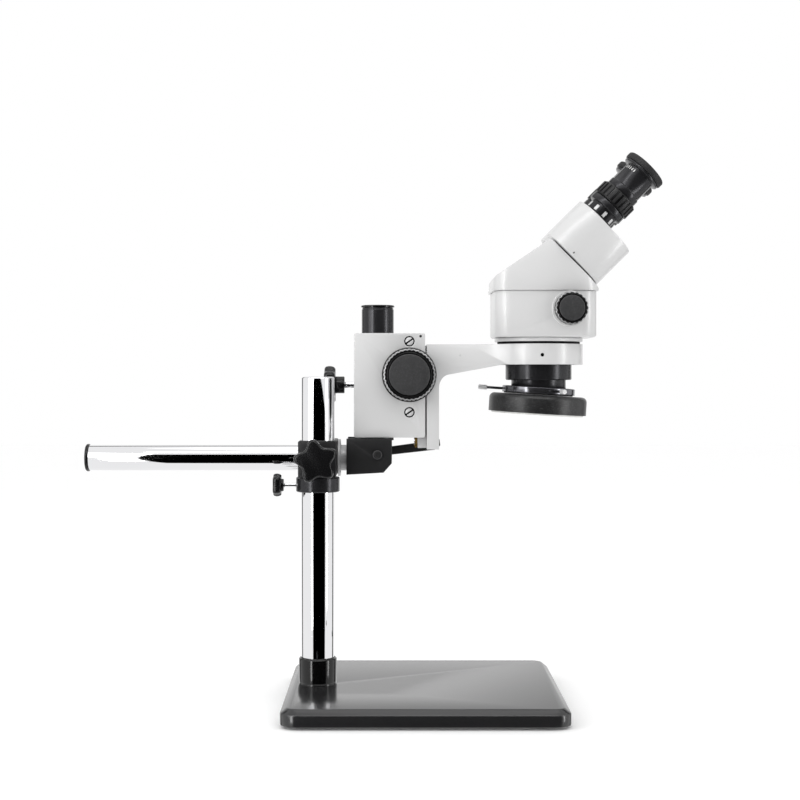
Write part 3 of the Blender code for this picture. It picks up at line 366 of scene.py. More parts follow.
def ease(mesh: bmesh.types.BMesh, width: float, degrees: float = 28.0, segments: int = 2) -> None:
    """Bevel every edge sharper than an angle."""
    if width <= 0.0:
        return
    limit = math.radians(degrees)
    sharp = [edge for edge in mesh.edges if edge.is_manifold and edge.calc_face_angle(0.0) > limit]
    bmesh.ops.bevel(mesh, geom=sharp, offset=width, offset_type="OFFSET", affect="EDGES", segments=segments,
                    profile=0.5, material=-1, clamp_overlap=True)


def stacked(sections: list[list[Point]], edge: float = 0.0) -> bmesh.types.BMesh:
    """Bridge flat sections of equal point count into one closed body and ease its edges."""
    mesh = bmesh.new()
    loops = []
    for section in sections:
        points = [mesh.verts.new(point) for point in section]
        loops.append([mesh.edges.new(pair) for pair in zip(points, points[1:] + points[:1])])
    for lower, upper in zip(loops, loops[1:]):
        bmesh.ops.bridge_loops(mesh, edges=lower + upper)
    for loop in (loops[0], loops[-1]):
        bmesh.ops.contextual_create(mesh, geom=loop)
    bmesh.ops.recalc_face_normals(mesh, faces=mesh.faces)
    ease(mesh, edge)
    return mesh


def slab(outline: Outline, low: float, high: float, edge: float = 0.0) -> bmesh.types.BMesh:
    """Extrude a flat outline between two heights."""
    return stacked([[(x, y, level) for x, y in outline] for level in (low, high)], edge)


def plate(wide: float, high: float, low: float, top: float, edge: float = 0.3) -> bmesh.types.BMesh:
    """Rectangular slab centred on the axis."""
    outline = [(-wide / 2, -high / 2), (wide / 2, -high / 2), (wide / 2, high / 2), (-wide / 2, high / 2)]
    return slab(outline, low, top, edge)


def lobes(radius: float, wave: float, count: int, points: int, sharpness: float = 1.0,
          phase: float = 0.0) -> Outline:
    """Outline whose radius swells count times round; sharpness over one narrows the swells."""
    outline = []
    for index in range(count * points):
        angle = math.tau * index / (count * points)
        swell = (0.5 + 0.5 * math.cos(count * angle)) ** sharpness * 2.0 - 1.0
        reach = radius + wave * swell
        outline.append((reach * math.cos(angle + phase), reach * math.sin(angle + phase)))
    return outline


def domed(outline: Outline, levels: list[tuple[float, float]]) -> bmesh.types.BMesh:
    """Stack scaled copies of an outline: levels are (height, scale) pairs."""
    return stacked([[(x * size, y * size, level) for x, y in outline] for level, size in levels])


def merged(parts: list[bmesh.types.BMesh]) -> bmesh.types.BMesh:
    """Gather separate shells into one mesh."""
    whole = bmesh.new()
    for part in parts:
        holder = bpy.data.meshes.new("part")
        part.to_mesh(holder)
        part.free()
        whole.from_mesh(holder)
        bpy.data.meshes.remove(holder)
    return whole


def moved(mesh: bmesh.types.BMesh, place: Matrix) -> bmesh.types.BMesh:
    """Move a shape and hand it back."""
    bmesh.ops.transform(mesh, matrix=place, verts=mesh.verts)
    return mesh


def publish(name: str, mesh: bmesh.types.BMesh, place: Matrix, body: str, finish: Finish,
            instead_of: tuple[str, ...] = (), flat_degrees: float = 32.0) -> bpy.types.Object:
    """Turn a shape into a finished piece that rides on a body.

    Args:
        name: The piece's name.
        mesh: Its shape in its own millimetres.
        place: Matrix to the frame's metres.
        body: The body it moves with.
        finish: Its surface.
        instead_of: CAD nodes it stands for.
        flat_degrees: Edges sharper than this stay crisp.

    Returns:
        The piece.
    """
    bmesh.ops.transform(mesh, matrix=place, verts=mesh.verts)
    data = bpy.data.meshes.new(name)
    mesh.to_mesh(data)
    mesh.free()
    data.shade_smooth()
    data.set_sharp_from_angle(angle=math.radians(flat_degrees))
    data.materials.append(finish.material())
    piece = bpy.data.objects.new(name, data)
    bpy.context.scene.collection.objects.link(piece)
    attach(piece, body)
    if instead_of:
        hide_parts(*instead_of)
    log.info("%s: %d faces on %s", name, len(data.polygons), body)
    return piece


def softened(node_name: str, finish: Finish, width: float = 0.5, degrees: float = 30.0) -> bpy.types.Object:
    """Stand a copy of a CAD node in for it, with its facets merged and its edges eased.

    Args:
        node_name: The CAD node.
        finish: Its surface.
        width: Width of the eased edges.
        degrees: Edges sharper than this are eased.

    Returns:
        The piece.
    """
    source = frame["nodes"][node_name]
    mesh = bmesh.new()
    mesh.from_mesh(source.data)
    bmesh.ops.scale(mesh, vec=(1.0 / MM,) * 3, verts=mesh.verts)
    bmesh.ops.remove_doubles(mesh, verts=mesh.verts, dist=0.002)
    bmesh.ops.dissolve_limit(mesh, angle_limit=math.radians(0.5), verts=mesh.verts, edges=mesh.edges)
    ease(mesh, width, degrees)
    piece = publish(f"{node_name}_cast", mesh, Matrix.Scale(MM, 4), source["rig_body"], finish, (node_name,),
                    40.0)
    return piece


def dress(node_name: str, finish: Finish) -> None:
    """Give a CAD node that stays a finished material."""
    slots = frame["nodes"][node_name].data.materials
    slots.clear()
    slots.append(finish.material())


def middle(node_name: str) -> Vector:
    """Centre of a CAD node's box."""
    low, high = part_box(node_name)
    return (low + high) / 2.0


def standing(node_name: str) -> tuple[Matrix, float, float]:
    """Place for an upright turned piece.

    Args:
        node_name: The CAD node it stands for.

    Returns:
        The matrix at the foot of the node's box, and the node's radius and height in millimetres.
    """
    low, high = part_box(node_name)
    centre = middle(node_name)
    place = axes(Vector((centre.x, centre.y, low.z)), UP)
    return place, (high.x - low.x) / 2.0 / MM, (high.z - low.z) / MM


def joint(name: str) -> tuple[Vector, Vector]:
    """A point on a joint's axis and the axis."""
    found = next(item for item in frame["joints"] if item["name"] == name)
    return Vector(found.get("pos_m", (0.0, 0.0, 0.0))), Vector(found["axis"])


# Knobs and screws -------------------------------------------------------------------------------

@dataclass(frozen=True)
class StarKnob:
    """Five-lobed clamp knob: deep rounded lobes, a flat face, a hub and a bright stud."""

    tip: float = 21.2               # reach of a lobe
    valley: float = 14.9
    depth: float = 14.0
    hub: float = 11.0
    hub_deep: float = 4.0
    stud: float = 4.0
    phase: float = 28.0

    def head(self) -> bmesh.types.BMesh:
        """Lobed head with its hub behind, face towards +Z, back of the head at height 0."""
        mean, wave = (self.tip + self.valley) / 2.0, (self.tip - self.valley) / 2.0
        outline = lobes(mean, wave, 5, 24, 1.25, math.radians(self.phase))
        deep = self.depth
        head = domed(outline, [(0.0, 0.84), (0.7, 0.91), (2.2, 0.97), (4.5, 1.0), (deep - 3.5, 1.0),
                               (deep - 1.4, 0.97), (deep - 0.4, 0.92), (deep, 0.86)])
        hub = turned([(0.0, -self.hub_deep), (self.hub, -self.hub_deep), (self.hub, 1.0), (0.0, 1.0)], 0.7,
                     48)
        return merged([head, hub])

    def shank(self, long: float) -> bmesh.types.BMesh:
        """Stud behind the hub."""
        start = -self.hub_deep - long
        return turned([(0.0, start), (self.stud, start), (self.stud, -self.hub_deep + 0.5),
                       (0.0, -self.hub_deep + 0.5)], 0.4, 40)

    def make(self, node_name: str, back: Vector, out: Vector) -> None:
        """Publish the knob and its stud in place of a CAD node."""
        body = frame["nodes"][node_name]["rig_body"]
        place = axes(back, out)
        publish(f"{node_name}_head", self.head(), place, body, SMOOTH_ABS, (node_name,), 40.0)
        low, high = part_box(node_name)
        whole = abs((high - low).dot(out)) / MM
        publish(f"{node_name}_stud", self.shank(whole - self.depth - self.hub_deep), place, body, CHROME)


@dataclass(frozen=True)
class ScallopedKnob:
    """Turned drive knob: a plain flange, a scalloped grip in front with a painted highlight along its edge, a
    step ring and a textured face.
    """

    flange: float = 26.5
    grip: float = 25.3
    face: float = 19.75
    deep: float = 25.0
    scallops: int = 36
    scoop: float = 0.75
    flange_deep: float = 6.0

    def make(self, node_name: str, seat: Vector, out: Vector) -> None:
        """Publish flange, grip and face in place of a CAD node."""
        body = frame["nodes"][node_name]["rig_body"]
        place = axes(seat, out)
        front = self.deep - 1.6
        flange = turned([(0.0, 0.3), (self.flange, 0.3), (self.flange, self.flange_deep),
                         (self.grip - 1.5, self.flange_deep + 1.2), (0.0, self.flange_deep + 1.2)], 0.5)
        publish(f"{node_name}_flange", flange, place, body, SMOOTH_ABS, (node_name,))
        outline = lobes(self.grip - self.scoop / 2.0, self.scoop / 2.0, self.scallops, 10, 0.55)
        rim = (self.face + 1.8) / self.grip
        grip = domed(outline, [(self.flange_deep, 0.96), (self.flange_deep + 0.5, 0.985),
                               (self.flange_deep + 1.4, 1.0),
                               (front - 2.4, 1.0), (front - 0.9, 0.985), (front, 0.955),
                               (front + 0.25, rim + 0.03),
                               (front + 0.1, rim)])
        publish(f"{node_name}_grip", grip, place, body, SMOOTH_ABS)
        # A ring of painted highlight along the front edge of the scallops
        edge = domed(outline,
                     [(front - 1.05, 0.973), (front - 0.8, 0.99), (front - 0.1, 0.97), (front + 0.06, 0.952)])
        publish(f"{node_name}_edge", edge, place, body, PAINTED_GRIP_HIGHLIGHT)
        ring = turned([(self.face - 1.0, front - 0.5), (self.face + 2.0, front - 0.5),
                       (self.face + 1.7, front + 0.9),
                       (self.face + 0.5, front + 1.1), (self.face - 1.0, front + 0.6)], 0.25)
        publish(f"{node_name}_step", ring, place, body, GLOSS_PAINT)
        disc = turned([(0.0, front - 1.0), (self.face, front - 1.0), (self.face, self.deep - 0.5),
                       (self.face - 0.7, self.deep - 0.05), (0.0, self.deep)], 0.15)
        publish(f"{node_name}_face", disc, place, body, MOULDED)


@dataclass(frozen=True)
class SlottedScrew:
    """Cheese-head screw in a counterbore: a dark ring of shadow, a bright head and a slot."""

    head: float = 3.9
    well: float = 5.1
    slot_wide: float = 1.5
    turn: float = 35.0

    def make(self, name: str, mouth: Vector, out: Vector, body: str, sunk: float = 2.6,
             instead_of: tuple[str, ...] = ()) -> None:
        """Publish the well's floor and the head, whose top stands a little under the mouth."""
        place = axes(mouth, out, self.turn)
        # The well's floor is painted shade: it makes the dark ring round the head
        well = turned([(0.0, -sunk - 1.0), (self.well, -sunk - 1.0), (self.well, -sunk), (0.0, -sunk)], 0.0,
                      40)
        publish(f"{name}_well", well, place, body, SHADOW, instead_of)
        top = -0.6
        half = self.slot_wide / 2.0
        reach = math.sqrt(self.head ** 2 - half ** 2)
        first, last = math.asin(half / self.head), math.pi - math.asin(half / self.head)
        steps = 20
        bow = [(self.head * math.cos(first + (last - first) * step / steps),
                self.head * math.sin(first + (last - first) * step / steps)) for step in range(steps + 1)]
        lands = [slab([(x, sign * y) for x, y in bow], -sunk + 0.1, top, 0.3) for sign in (1.0, -1.0)]
        # The slot's floor is painted shade
        floor = plate(reach * 2.0 - 0.4, self.slot_wide + 0.4, -sunk + 0.1, top - 0.9, 0.0)
        publish(f"{name}_head", merged(lands), place, body, SATIN_METAL)
        publish(f"{name}_slot", floor, place, body, SHADOW)


# Stand ------------------------------------------------------------------------------------------

@dataclass
class Stand:
    """Base plate on rubber feet, with a chrome post in a socket collar."""

    post_edge: float = 1.6
    foot_rib: float = 0.5

    def build(self) -> None:
        """Build the base, its feet, the socket and the post."""
        plate_piece = softened("base_plate", BASE_COAT, 1.1, 25.0)
        plate_piece.visible_glossy = False      # keeps the chrome clean of it
        dress("base_bolt", BRIGHT_STEEL)
        for corner in ("near_left", "near_right", "far_left", "far_right"):
            self.foot(f"rubber_foot_{corner}")
        self.socket()
        self.post()

    def foot(self, name: str) -> None:
        """Moulded rubber foot with a rounded tread and a groove round it."""
        place, radius, deep = standing(name)
        rib = self.foot_rib
        profile = [(0.0, 0.0), (radius - 1.2, 0.0), (radius - 0.4, 0.5), (radius - rib, 0.9),
                   (radius - rib, 1.3),
                   (radius, 1.6), (radius, deep), (0.0, deep)]
        publish(f"{name}_tread", turned(profile, 0.12, 48), place, "stand", RUBBER, (name,))

    def socket(self) -> None:
        """Glossy collar with a rolled foot and an eased mouth."""
        place, radius, tall = standing("post_socket")
        bore = radius - 1.9
        profile = [(bore, 0.0), (radius, 0.0), (radius, 3.0), (radius - 0.35, 3.4), (radius - 0.35, 4.0),
                   (radius, 4.4), (radius, tall - 1.2), (radius - 1.0, tall), (bore, tall)]
        publish("post_socket_sleeve", turned(profile, 0.25), place, "stand", GLOSS_PAINT, ("post_socket",))

    def post(self) -> None:
        """Chrome rod with an eased top."""
        place, radius, tall = standing("vertical_post")
        edge = self.post_edge
        profile = [(0.0, 0.0), (radius, 0.0), (radius, tall - edge),
                   (radius - edge * 0.35, tall - edge * 0.3),
                   (radius - edge, tall), (0.0, tall)]
        publish("vertical_post_rod", turned(profile, 0.2, 128), place, "stand", CHROME, ("vertical_post",))


@dataclass
class BoomClamp:
    """Safety collar, cross block and their clamp knobs, with the boom that slides through."""

    near_knob: StarKnob = field(default_factory=StarKnob)
    thumb: StarKnob = field(default_factory=lambda: StarKnob(11.5, 9.3, 7.6, 6.0, 2.4, 2.0, 20.0))

    def build(self) -> None:
        """Build the collar, the block, the knobs and the boom."""
        self.collar()
        softened("cross_block", BLOCK_COAT, 0.9)
        self.bush()
        for name, out in (("post_clamp_knob", NEARWARD), ("boom_clamp_knob", Vector((0.0, 1.0, 0.0)))):
            low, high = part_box(name)
            face = low.y if out.y < 0.0 else high.y
            point = joint("post_clamp_turn")[0]
            back = Vector((point.x, face - out.y * self.near_knob.depth * MM, point.z))
            self.near_knob.make(name, back, out)
        self.boom()

    def collar(self) -> None:
        """Turned ring with broken edges, and its thumbscrew."""
        place, radius, tall = standing("safety_collar")
        bore = radius - 4.7
        profile = [(bore, 0.0), (radius - 0.9, 0.0), (radius, 0.9), (radius, tall - 0.9),
                   (radius - 0.9, tall),
                   (bore, tall)]
        publish("safety_collar_ring", turned(profile, 0.3), place, "collar", ANODISED, ("safety_collar",))
        point = joint("collar_screw_turn")[0]
        thumb_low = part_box("collar_thumbscrew")[0]
        out = LEFTWARD
        back = Vector((thumb_low.x + self.thumb.depth * MM, point.y, point.z))
        self.thumb.make("collar_thumbscrew", back, out)

    def bush(self) -> None:
        """Bright flanged ring round the boom."""
        low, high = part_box("boom_bush")
        radius, deep = (high.z - low.z) / 2.0 / MM, (high.x - low.x) / MM
        centre = middle("boom_bush")
        place = axes(Vector((low.x, centre.y, centre.z)), RIGHTWARD)
        bore = radius - 5.5
        profile = [(bore, 0.0), (radius, 0.0), (radius, deep - 0.5), (radius - 0.5, deep), (bore + 1.5, deep),
                   (bore, deep - 0.8)]
        publish("boom_bush_flange", turned(profile, 0.15), place, "block", SATIN_METAL, ("boom_bush",))

    def boom(self) -> None:
        """Chrome tube, and the moulded plug in its free end."""
        low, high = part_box("boom_tube")
        radius, long = (high.z - low.z) / 2.0 / MM, (high.x - low.x) / MM
        centre = middle("boom_tube")
        place = axes(Vector((low.x, centre.y, centre.z)), RIGHTWARD)
        profile = [(0.0, 0.0), (radius, 0.0), (radius, long), (0.0, long)]
        publish("boom_rod", turned(profile, 0.4, 128), place, "boom", CHROME, ("boom_tube",))
        nose = turned([(0.0, 0.0), (radius + 0.12, 0.0), (radius + 0.12, 9.5), (0.0, 9.5)], 0.1, 96)
        start = Vector((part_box("knuckle_fork")[0].x - 0.0095, centre.y, centre.z))
        publish("boom_nose", nose, axes(start, RIGHTWARD), "boom", SATIN_METAL)
        cap_low, cap_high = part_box("boom_end_cap")
        radius, deep = (cap_high.z - cap_low.z) / 2.0 / MM, (cap_high.x - cap_low.x) / MM
        place = axes(Vector((cap_high.x, centre.y, centre.z)), LEFTWARD)
        profile = [(0.0, 0.0), (radius, 0.0), (radius, deep - 1.3), (radius - 0.9, deep - 0.3),
                   (radius - 3.5, deep),
                   (radius - 4.0, deep - 0.6), (0.0, deep - 0.4)]
        publish("boom_end_plug", turned(profile, 0.2), place, "boom", SMOOTH_ABS, ("boom_end_cap",))


@dataclass
class TiltJoint:
    """Fork at the boom's end, its bolt and lock lever, and the post that it tilts."""

    def build(self) -> None:
        """Build the fork, bolt, lever, tongue and rack post."""
        softened("knuckle_fork", BLOCK_COAT, 0.8)
        softened("tilt_lever", BLOCK_COAT, 0.5)
        softened("tilt_tongue", BLOCK_COAT, 0.5)
        self.lever_channel()
        self.bolt()
        self.rack_post()

    def lever_channel(self) -> None:
        """Folded lips that make the lever's bar a channel."""
        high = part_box("tilt_lever")[1]
        point = joint("tilt_lever_turn")[0]
        run = Vector((high.x - point.x - 0.004, 0.0, high.z - 0.006 - point.z))
        direction = run.normalized()
        up = Vector((-direction.z, 0.0, direction.x))
        long = run.length / MM
        lips = [moved(plate(long - 12.0, 1.1, -1.2, 1.2, 0.3),
                      Matrix.Translation((long / 2.0 + 5.0, side * 3.3, 0.0))) for side in (1.0, -1.0)]
        place = Matrix((
            (direction.x * MM, up.x * MM, 0.0, point.x), (0.0, 0.0, MM, high.y - 0.0004),
            (direction.z * MM, up.z * MM, 0.0, point.z), (0.0, 0.0, 0.0, 1.0)))
        mesh = merged(lips)
        piece = publish("tilt_lever_lips", mesh, place, "tilt_lever", BLOCK_COAT)
        flip = bmesh.new()
        flip.from_mesh(piece.data)
        bmesh.ops.recalc_face_normals(flip, faces=flip.faces)
        flip.to_mesh(piece.data)
        flip.free()

    def bolt(self) -> None:
        """Domed head with a ring round it, and the plain end beyond the lever."""
        low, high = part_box("tilt_bolt")
        point = joint("microscope_tilt")[0]
        out = NEARWARD
        deep = (high.y - low.y) / MM
        place = axes(Vector((point.x, high.y, point.z)), out)
        profile = [(0.0, 0.0), (3.0, 0.0), (3.0, deep - 2.8), (4.4, deep - 2.8), (4.4, deep - 1.2),
                   (3.6, deep - 0.3), (2.6, deep), (2.3, deep - 0.5), (0.0, deep - 0.4)]
        publish("tilt_bolt_pin", turned(profile, 0.12, 56), place, "knuckle", BLOCK_COAT, ("tilt_bolt",))
        rim = turned([(3.5, deep - 1.3), (4.5, deep - 1.3), (4.5, deep - 0.4), (3.9, deep - 0.1),
                      (3.5, deep - 0.5)],
                     0.05, 56)
        publish("tilt_bolt_rim", rim, place, "knuckle", MOULDED)

    def rack_post(self) -> None:
        """Black post with a shallow groove under its flanged cap."""
        low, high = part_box("rack_post")
        radius, tall = (high.x - low.x) / 2.0 / MM, (high.z - low.z) / MM
        centre = middle("rack_post")
        place = axes(Vector((centre.x, centre.y, low.z)), UP)
        profile = [(0.0, 0.0), (radius, 0.0), (radius, tall - 2.0), (radius - 0.5, tall - 1.4),
                   (radius - 0.5, tall),
                   (0.0, tall)]
        publish("rack_post_rod", turned(profile, 0.2), place, "tilt_head", ANODISED, ("rack_post",))
        low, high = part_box("rack_post_cap")
        radius, deep = (high.x - low.x) / 2.0 / MM, (high.z - low.z) / MM
        place = axes(Vector((centre.x, centre.y, low.z)), UP)
        profile = [(0.0, 0.0), (radius, 0.0), (radius, deep - 0.7), (radius - 0.7, deep - 0.1),
                   (radius - 3.0, deep),
                   (radius - 3.4, deep - 0.4), (0.0, deep - 0.3)]
        publish("rack_post_plug", turned(profile, 0.15), place, "tilt_head", GLOSS_PAINT, ("rack_post_cap",))


# Focus drive ------------------------------------------------------------------------------------

@dataclass
class FocusDrive:
    """Block on the rack post, its lock knob, the focus knobs, and the arm that the knobs raise."""

    screw: SlottedScrew = field(default_factory=SlottedScrew)
    knob: ScallopedKnob = field(default_factory=ScallopedKnob)
    pin: float = 1.3                # radius of the dowel in the arm's side
    arm_half: float = 20.0          # half the arm's width beside the block

    def build(self) -> None:
        """Build the block and all that hangs on it."""
        softened("focus_block", ENAMEL, 0.9, 50.0)
        softened("focus_arm", ENAMEL, 0.8, 50.0)
        out = NEARWARD
        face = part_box("focus_block")[0].y
        for name in ("block_screw_lower", "block_screw_upper"):
            centre = middle(name)
            self.screw.make(name, Vector((centre.x, face, centre.z)), out, "focus_case", instead_of=(name,))
        self.marks(face)
        self.lock_knob()
        point = joint("focus_turn")[0]
        for side in Side:
            low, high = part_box(f"focus_knob_{side.word}")
            inner = high.y if side is Side.NEAR else low.y
            self.knob.make(f"focus_knob_{side.word}", Vector((point.x, inner, point.z)),
                           Vector((0.0, side.value, 0.0)))
        dress("focus_shaft", BRIGHT_STEEL)
        dress("dovetail_rail", SATIN_METAL)
        dress("gear_rack", BRASS)

    def marks(self, face: float) -> None:
        """Adjusting hole in the block's near face, drawn as a disc of painted shade standing a little proud,
        and the dowel in the arm's side.
        """
        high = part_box("focus_block")[1]
        out = NEARWARD
        hole = turned([(0.0, -1.0), (1.25, -1.0), (1.25, 0.08), (0.0, 0.08)], 0.0, 32)
        publish("block_adjusting_hole", hole, axes(Vector((high.x - 0.0044, face, high.z - 0.003)), out),
                "focus_case", SHADOW)
        arm_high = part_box("focus_arm")[1]
        dowel = turned([(0.0, -2.0), (self.pin, -2.0), (self.pin, 0.15), (0.0, 0.3)], 0.05, 32)
        side = middle("focus_arm").y - self.arm_half * MM
        publish("arm_dowel", dowel, axes(Vector((high.x + 0.034, side, arm_high.z - 0.0108)), out),
                "focus_slide",
                SATIN_METAL)

    def lock_knob(self) -> None:
        """Small five-lobed knob whose stud bears on the rack post."""
        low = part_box("rack_lock_knob")[0]
        point = joint("rack_lock_turn")[0]
        head_deep, hub_deep = 10.8, 9.0
        back = Vector((low.x + head_deep * MM, point.y, point.z))
        StarKnob(19.2, 14.6, head_deep, 8.3, hub_deep, 3.0, 17.0).make("rack_lock_knob", back,
                                                                       LEFTWARD)


# Microscope head --------------------------------------------------------------------------------

@dataclass
class Head:
    """Zoom body: collar in the arm's ring, housing, cover, zoom knobs and objective."""

    knob: ScallopedKnob = field(default_factory=lambda: ScallopedKnob(15.3, 15.9, 12.2, 17.8, 20, 0.9, 1.4))
    boss: float = 17.5

    def build(self) -> None:
        """Build the head's outside and its zoom drive."""
        softened("lower_housing", ENAMEL, 0.7, 50.0)
        softened("top_cover", ENAMEL, 1.2, 20.0)
        softened("pivot_plate", ANODISED, 0.4, 40.0)
        self.collar()
        self.barrel()
        self.zoom()

    def collar(self) -> None:
        """White flange on a neck of painted shade, so that a thin dark line, standing for the shadowed gap,
        parts it from the arm's ring.
        """
        low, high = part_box("head_collar")
        centre = middle("head_collar")
        place = axes(Vector((centre.x, centre.y, low.z)), UP)
        tall, radius, bore = (high.z - low.z) / MM, (high.x - low.x) / 2.0 / MM, 32.7
        neck = tall - 3.7
        profile = [(bore, 0.0), (radius - 5.5, 0.0), (radius - 5.5, neck - 2.0), (radius - 2.7, neck - 2.0),
                   (radius - 2.7, neck + 0.2), (bore, neck + 0.2)]
        publish("head_collar_neck", turned(profile, 0.2), place, "head", SHADOW, ("head_collar",))
        rim = [(bore, neck), (radius, neck), (radius, tall), (bore, tall)]
        publish("head_collar_flange", turned(rim, 0.5, 128), place, "head", ENAMEL)

    def barrel(self) -> None:
        """Objective barrel with its narrower nose, and the coated front lens."""
        low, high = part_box("objective_barrel")
        centre = middle("objective_barrel")
        place = axes(Vector((centre.x, centre.y, low.z)), UP)
        tall, radius = (high.z - low.z) / MM, (high.x - low.x) / 2.0 / MM
        nose, step, path = radius - 5.65, 9.4, 22.0
        profile = [(path, 0.0), (nose, 0.0), (nose, step), (radius - 0.8, step), (radius, step + 0.8),
                   (radius, tall), (path + 3.0, tall), (path + 3.0, 3.0), (path, 3.0)]
        publish("objective_barrel_tube", turned(profile, 0.25, 128), place, "head", ANODISED,
                ("objective_barrel",))
        low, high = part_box("objective_lens")
        radius, deep = (high.x - low.x) / 2.0 / MM, (high.z - low.z) / MM
        place = axes(Vector((centre.x, centre.y, low.z)), UP)
        bowl = [(radius * step / 10.0, deep - 2.0 + 2.0 * (1.0 - (step / 10.0) ** 2))
                for step in range(10, -1, -1)]
        publish("objective_front_lens", turned([(0.0, 0.0), (radius, 0.0)] + bowl, 0.0, 72), place, "head",
                GLASS,
                ("objective_lens",))

    def zoom(self) -> None:
        """Zoom knobs on raised bosses, with the shaft and lens carrier inside."""
        point = joint("zoom_turn")[0]
        for side in Side:
            out = Vector((0.0, side.value, 0.0))
            wall_low, wall_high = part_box("lower_housing")
            wall = wall_low.y if side is Side.NEAR else wall_high.y
            low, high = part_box(f"zoom_knob_{side.word}")
            inner = high.y if side is Side.NEAR else low.y
            tall = abs(inner - wall) / MM - 0.3
            ring = [(4.5, -0.5), (self.boss, -0.5), (self.boss, tall - 0.4), (self.boss - 0.5, tall),
                    (4.5, tall)]
            publish(f"zoom_boss_{side.word}", turned(ring, 0.15), axes(Vector((point.x, wall, point.z)), out),
                    "head", ENAMEL)
            self.knob.make(f"zoom_knob_{side.word}", Vector((point.x, inner, point.z)), out)
        dress("zoom_shaft", BRIGHT_STEEL)
        dress("zoom_lens_carrier", ANODISED)


@dataclass
class Eyepiece:
    """One swinging pod with its eyepiece. Heights run up the eyepiece's axis from the pod's top."""

    side: Side
    ribs: int = 24
    windows: int = 9
    ticks: int = 5

    def build(self) -> None:
        """Build the pod, tube, dioptre ring, eyepiece, lens and eyecup."""
        word = self.side.word
        softened(f"prism_{word}_pod", ENAMEL, 1.3, 40.0)
        self.place = axes(*joint(f"{word}_dioptre_turn"))
        self.pod_screw(word)
        self.body = f"{word}_pod"
        self.tube(word)
        self.dioptre_ring(word)
        self.eyepiece(word)

    def around(self, count: int, piece: tuple[float, float, float], radius: float, height: float,
               first: float = 0.0, span: float = 360.0) -> list[bmesh.types.BMesh]:
        """Bars set in a ring: each is (wide round the ring, tall, thick), standing on a radius."""
        wide, tall, thick = piece
        bars = []
        for index in range(count):
            angle = math.radians(first + span * index / count)
            place = Matrix.Rotation(angle, 4, "Z") @ Matrix.Translation((radius, 0.0, height)) \
                @ Matrix.Rotation(math.radians(90.0), 4, "Y")
            bars.append(moved(plate(tall, wide, -thick / 2.0, thick / 2.0, 0.12), place))
        return bars

    def pod_screw(self, word: str) -> None:
        """Small ringed screw low on the pod's outer wall."""
        point, up = joint(f"{word}_dioptre_turn")
        low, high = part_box(f"prism_{word}_pod")
        wall = low.y if self.side is Side.NEAR else high.y
        across = Vector((up.z, 0.0, -up.x))
        at = point - up * 0.0418 + across * 0.0072
        place = axes(Vector((at.x, wall - self.side.value * 0.0012, at.z)),
                     Vector((0.0, self.side.value, 0.0)))
        ring = turned([(1.1, -1.0), (1.9, -1.0), (1.9, 0.35), (1.1, 0.35)], 0.08, 32)
        publish(f"pod_screw_{word}", ring, place, f"{word}_pod", SATIN_METAL)
        # The screw's socket is a dot of painted shade
        dot = turned([(0.0, -1.0), (1.15, -1.0), (1.15, 0.1), (0.0, 0.1)], 0.0, 24)
        publish(f"pod_screw_socket_{word}", dot, place, f"{word}_pod", SHADOW)

    def tube(self, word: str) -> None:
        """Tube on the pod, with bright index windows round its foot."""
        profile = [(12.5, 0.3), (15.15, 0.3), (15.15, 10.6), (18.2, 10.6), (19.0, 11.4), (19.0, 16.6),
                   (18.2, 17.3), (14.0, 17.3), (14.0, 32.0), (12.5, 32.0)]
        publish(f"eyepiece_tube_{word}_barrel", turned(profile, 0.2), self.place, self.body, ANODISED,
                (f"eyepiece_tube_{word}",))
        publish(f"index_windows_{word}", merged(self.around(self.windows, (3.0, 5.6, 0.5), 15.2, 5.6)),
                self.place, self.body, SATIN_METAL)

    def dioptre_ring(self, word: str) -> None:
        """Ribbed ring that sets the dioptre."""
        profile = [(14.3, 17.6), (18.3, 17.6), (19.1, 18.4), (19.1, 31.2), (18.3, 32.0), (14.3, 32.0)]
        publish(f"dioptre_ring_{word}_core", turned(profile, 0.2), self.place, f"{word}_dioptre", SMOOTH_ABS,
                (f"dioptre_ring_{word}",))
        ribs = self.around(self.ribs, (2.9, 11.8, 1.3), 19.3, 24.8)
        publish(f"dioptre_ring_{word}_ribs", merged(ribs), self.place, f"{word}_dioptre", BLOCK_COAT)

    def eyepiece(self, word: str) -> None:
        """Body with index marks, the eye lens and the folded rubber eyecup."""
        profile = [(10.5, 14.0), (12.2, 14.0), (12.2, 32.3), (17.0, 32.3), (17.0, 38.4), (16.0, 39.2),
                   (16.0, 59.0),
                   (20.0, 59.6), (20.5, 60.2), (20.5, 61.8), (12.0, 61.8), (12.0, 53.7), (10.5, 53.7)]
        publish(f"eyepiece_body_{word}_barrel", turned(profile, 0.2), self.place, self.body, ANODISED,
                (f"eyepiece_body_{word}",))
        marks = self.around(self.ticks, (0.8, 3.0, 0.16), 16.0, 55.6, -155.0, 50.0)
        publish(f"index_marks_{word}", merged(marks), self.place, self.body, INK)
        bowl = [(11.7 * step / 8.0, 57.8 - 1.0 * (step / 8.0) ** 2) for step in range(8, -1, -1)]
        publish(f"eye_lens_{word}_glass", turned([(0.0, 54.0), (11.7, 54.0)] + bowl, 0.0, 56), self.place,
                self.body, GLASS, (f"eye_lens_{word}",))
        cup = [(13.0, 62.1), (20.8, 62.1), (21.85, 63.2), (21.85, 67.6), (20.8, 68.8), (18.6, 68.8),
               (16.0, 66.0),
               (13.0, 64.5)]
        publish(f"eyecup_{word}_rubber", turned(cup, 0.45), self.place, self.body, RUBBER,
                (f"eyecup_{word}",))


# Ring light -------------------------------------------------------------------------------------

